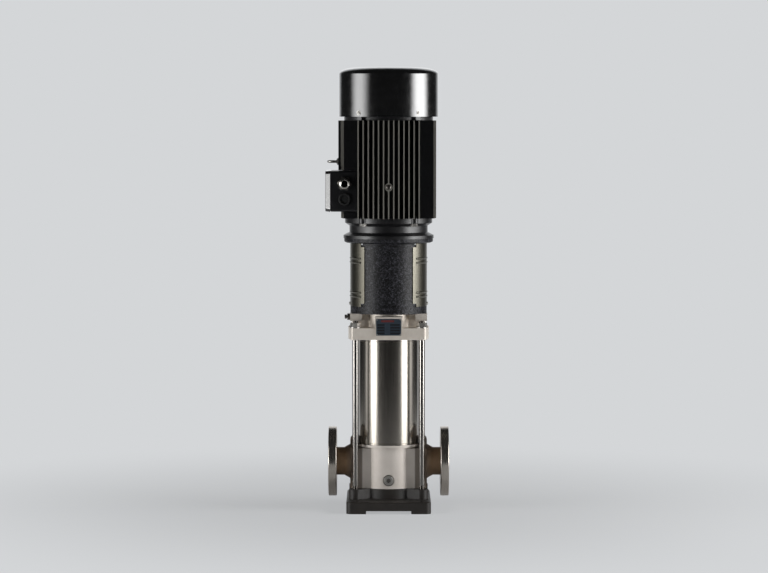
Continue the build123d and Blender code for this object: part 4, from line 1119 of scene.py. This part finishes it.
# -------------------------------------------------------- parts shut inside
# Pressed stage chambers and impellers, the seal, bushes, bearings, laminations,
# windings and terminal board. None shows, but each has its own finish.
pressed_sheet, tree, shader, place = new_finish("pressed_stainless", {"Metallic": 1.0, "Roughness": 0.3})
cloud = add_node(
    tree, "ShaderNodeTexNoise", {"Scale": 1 / 0.008, "Detail": 3.0}, {"Vector": (place, "Object")}
)
add_node(
    tree, "ShaderNodeMixRGB", {"Color1": colour("a5a19b"), "Color2": colour("c2beb8")},
    {"Fac": (cloud, "Fac")}, (shader, "Base Color"),
)
sheet_steel, tree, shader, place = new_finish("stacked_electrical_sheet", {"Metallic": 0.8, "Roughness": 0.45})
stack = add_node(
    tree, "ShaderNodeTexWave", {"Scale": 1 / 0.004, "bands_direction": "Z"}, {"Vector": (place, "Object")}
)
add_node(
    tree, "ShaderNodeMixRGB", {"Color1": colour("6a6a6d"), "Color2": colour("8d8d90")},
    {"Fac": (stack, "Fac")}, (shader, "Base Color"),
)
wire, tree, shader, place = new_finish("varnished_copper_wire", {"Metallic": 0.7, "Roughness": 0.35})
strands = add_node(
    tree, "ShaderNodeTexWave", {"Scale": 1 / 0.006, "bands_direction": "Z", "Distortion": 2.0},
    {"Vector": (place, "Object")},
)
add_node(
    tree, "ShaderNodeMixRGB", {"Color1": colour("7c3d1d"), "Color2": colour("c07a45")},
    {"Fac": (strands, "Fac")}, (shader, "Base Color"),
)
carbide, tree, shader, place = new_finish("lapped_carbide", {"Metallic": 0.3, "Roughness": 0.25})
cloud = add_node(
    tree, "ShaderNodeTexNoise", {"Scale": 1 / 0.004, "Detail": 3.0}, {"Vector": (place, "Object")}
)
add_node(
    tree, "ShaderNodeMixRGB", {"Color1": colour("2b2b2e"), "Color2": colour("444448")},
    {"Fac": (cloud, "Fac")}, (shader, "Base Color"),
)
phenolic, tree, shader, place = new_finish("moulded_phenolic", {"Roughness": 0.45, "IOR": 1.6})
cloud = add_node(
    tree, "ShaderNodeTexNoise", {"Scale": 1 / 0.003, "Detail": 3.0}, {"Vector": (place, "Object")}
)
add_node(
    tree, "ShaderNodeMixRGB", {"Color1": colour("3a1f12"), "Color2": colour("52301e")},
    {"Fac": (cloud, "Fac")}, (shader, "Base Color"),
)
stages = [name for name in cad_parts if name.startswith(("stage_chamber", "impeller_"))]
for finish, names in (
    (pressed_sheet, stages),
    (ground_steel, ["bearing_outer_rings", "bearing_inner_rings"]),
    (sheet_steel, ["stator_core", "rotor_core"]),
    (wire, ["stator_windings"]),
    (carbide, ["shaft_bushes", "seal_seat"]),
    (phenolic, ["terminal_board"]),
):
    for name in names:
        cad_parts[name].data.materials.clear()
        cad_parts[name].data.materials.append(finish)

# ------------------------------------------------------ floor, lamps, camera
# A pale paper floor that runs out to a pale backdrop, tall soft boxes at the
# front corners, a weak one behind and one overhead. The side of the room behind the camera is
# dark, as a studio's is, so polished metal has a dark middle.
paper, tree, shader, place = new_finish("pale_paper", {"Roughness": 0.9, "Specular IOR Level": 0.1})
fibre = add_node(
    tree, "ShaderNodeTexNoise", {"Scale": 1 / 0.6, "Detail": 2.0}, {"Vector": (place, "Object")}
)
add_node(
    tree, "ShaderNodeMixRGB", {"Color1": colour("d6d8da"), "Color2": colour("dedfe0")},
    {"Fac": (fibre, "Fac")}, (shader, "Base Color"),
)
far = add_node(tree, "ShaderNodeVectorMath", {"operation": "LENGTH"}, {0: (place, "Object")})
fade = add_node(
    tree, "ShaderNodeMapRange",
    {"interpolation_type": "SMOOTHSTEP", "From Min": 0.2, "From Max": 1.7, "To Min": 0.6},
    {"Value": (far, "Value")},
)
seen = add_node(tree, "ShaderNodeLightPath")
apart = add_node(tree, "ShaderNodeSeparateXYZ", {}, {"Vector": (place, "Object")})
rear = add_node(
    tree, "ShaderNodeMapRange", {"interpolation_type": "SMOOTHSTEP", "From Min": -0.3, "From Max": 1.2},
    {"Value": (apart, "Y")},
)
mirrored = add_node(
    tree, "ShaderNodeMath", {"operation": "MAXIMUM"},
    {0: (seen, "Is Glossy Ray"), 1: (seen, "Is Transmission Ray")},
)
mirrored = add_node(
    tree, "ShaderNodeMath", {"operation": "MULTIPLY"}, {0: (mirrored, "Value"), 1: (rear, "Result")}
)
shown = add_node(
    tree, "ShaderNodeMath", {"operation": "MAXIMUM"}, {0: (seen, "Is Camera Ray"), 1: (mirrored, "Value")}
)
share = add_node(
    tree, "ShaderNodeMath", {"operation": "MULTIPLY"}, {0: (fade, "Result"), 1: (shown, "Value")}
)
glow = add_node(tree, "ShaderNodeEmission", {"Color": colour("d4d6d8"), "Strength": 1.0})
sweep = add_node(
    tree, "ShaderNodeMixShader", {}, {"Fac": (share, "Value"), 1: (shader, "BSDF"), 2: (glow, "Emission")}
)
tree.links.new(sweep.outputs["Shader"], tree.nodes["Material Output"].inputs["Surface"])
bpy.ops.mesh.primitive_circle_add(vertices=96, radius=2.4, fill_type="NGON", location=(0, 0, 0))
floor = bpy.context.object
floor.name = "paper_floor"
floor.data.materials.append(paper)


def soft_box(name, azimuth, distance, height, width, tall, power, soft=0.0):
    """A soft box at an angle round the pump from the front, positive to the right.

    Its cloth dims towards the two upright sides, over the share of its width given.
    """
    data = bpy.data.lights.new(name, "AREA")
    data.shape = "RECTANGLE"
    data.size, data.size_y = width, tall
    data.energy = power
    if soft:
        data.use_nodes = True
        tree = data.node_tree
        spot = add_node(tree, "ShaderNodeNewGeometry")
        apart = add_node(tree, "ShaderNodeSeparateXYZ", {}, {"Vector": (spot, "Parametric")})
        inward = add_node(tree, "ShaderNodeMath", {"operation": "PINGPONG", 1: 0.5}, {0: (apart, "X")})
        cloth = add_node(
            tree, "ShaderNodeMapRange", {"interpolation_type": "SMOOTHSTEP", "From Max": soft},
            {"Value": (inward, "Value")},
        )
        tree.links.new(cloth.outputs["Result"], tree.nodes["Emission"].inputs["Strength"])
    lamp = bpy.data.objects.new(name, data)
    bpy.context.scene.collection.objects.link(lamp)
    spot = Vector((distance * sin(radians(azimuth)), -distance * cos(radians(azimuth)), height))
    lamp.location = spot
    lamp.rotation_euler = (Vector((0, 0, height)) - spot).to_track_quat("-Z", "Y").to_euler()
    lamp.visible_camera = False


soft_box("left_low_box", -58, 2.4, 0.32, 1.2, 0.62, 26, 0.32)
soft_box("right_low_box", 63, 2.4, 0.32, 1.2, 0.62, 26, 0.32)
soft_box("left_low_fill", -88, 2.5, 0.32, 1.0, 0.62, 3, 0.3)
soft_box("right_low_fill", 92, 2.5, 0.32, 1.0, 0.62, 3, 0.3)
soft_box("left_high_box", -70, 2.4, 1.2, 2.6, 1.1, 34, 0.45)
soft_box("right_high_box", 76, 2.4, 1.2, 2.6, 1.1, 66, 0.4)
soft_box("rear_box", 180, 3.0, 1.3, 2.4, 1.6, 4, 0.4)
soft_box("top_box", 0, 0.01, 3.2, 1.5, 1.5, 56)

world = bpy.data.worlds.new("studio")
bpy.context.scene.world = world
world.use_nodes = True
tree = world.node_tree
tree.nodes.clear()
way = add_node(tree, "ShaderNodeTexCoord")
apart = add_node(tree, "ShaderNodeSeparateXYZ", {}, {"Vector": (way, "Generated")})
behind = add_node(
    tree, "ShaderNodeMapRange", {"interpolation_type": "SMOOTHSTEP", "From Min": 0.75, "From Max": 0.95},
    {"Value": (apart, "Y")},
)
room = add_node(tree, "ShaderNodeBackground", {"Color": colour("d4d6d8"), "Strength": 0.03})
backdrop = add_node(tree, "ShaderNodeBackground", {"Color": colour("d4d6d8"), "Strength": 1.0})
seen = add_node(tree, "ShaderNodeLightPath")
mirrored = add_node(
    tree, "ShaderNodeMath", {"operation": "MAXIMUM"},
    {0: (seen, "Is Glossy Ray"), 1: (seen, "Is Transmission Ray")},
)
mirrored = add_node(
    tree, "ShaderNodeMath", {"operation": "MULTIPLY"}, {0: (mirrored, "Value"), 1: (behind, "Result")}
)
shown = add_node(
    tree, "ShaderNodeMath", {"operation": "MAXIMUM"}, {0: (seen, "Is Camera Ray"), 1: (mirrored, "Value")}
)
studio = add_node(
    tree, "ShaderNodeMixShader", {},
    {"Fac": (shown, "Value"), 1: (room, "Background"), 2: (backdrop, "Background")},
)
add_node(tree, "ShaderNodeOutputWorld", {}, {"Surface": (studio, "Shader")})

camera_data = bpy.data.cameras.new("camera")
camera_data.lens = 150
camera = bpy.data.objects.new("camera", camera_data)
bpy.context.scene.collection.objects.link(camera)
camera.location = (-0.0122, -8.512, 1.0478)
camera.rotation_euler = (radians(90 - 3.07), 0, 0)
bpy.context.scene.camera = camera
bpy.context.scene.view_settings.view_transform = "Standard"
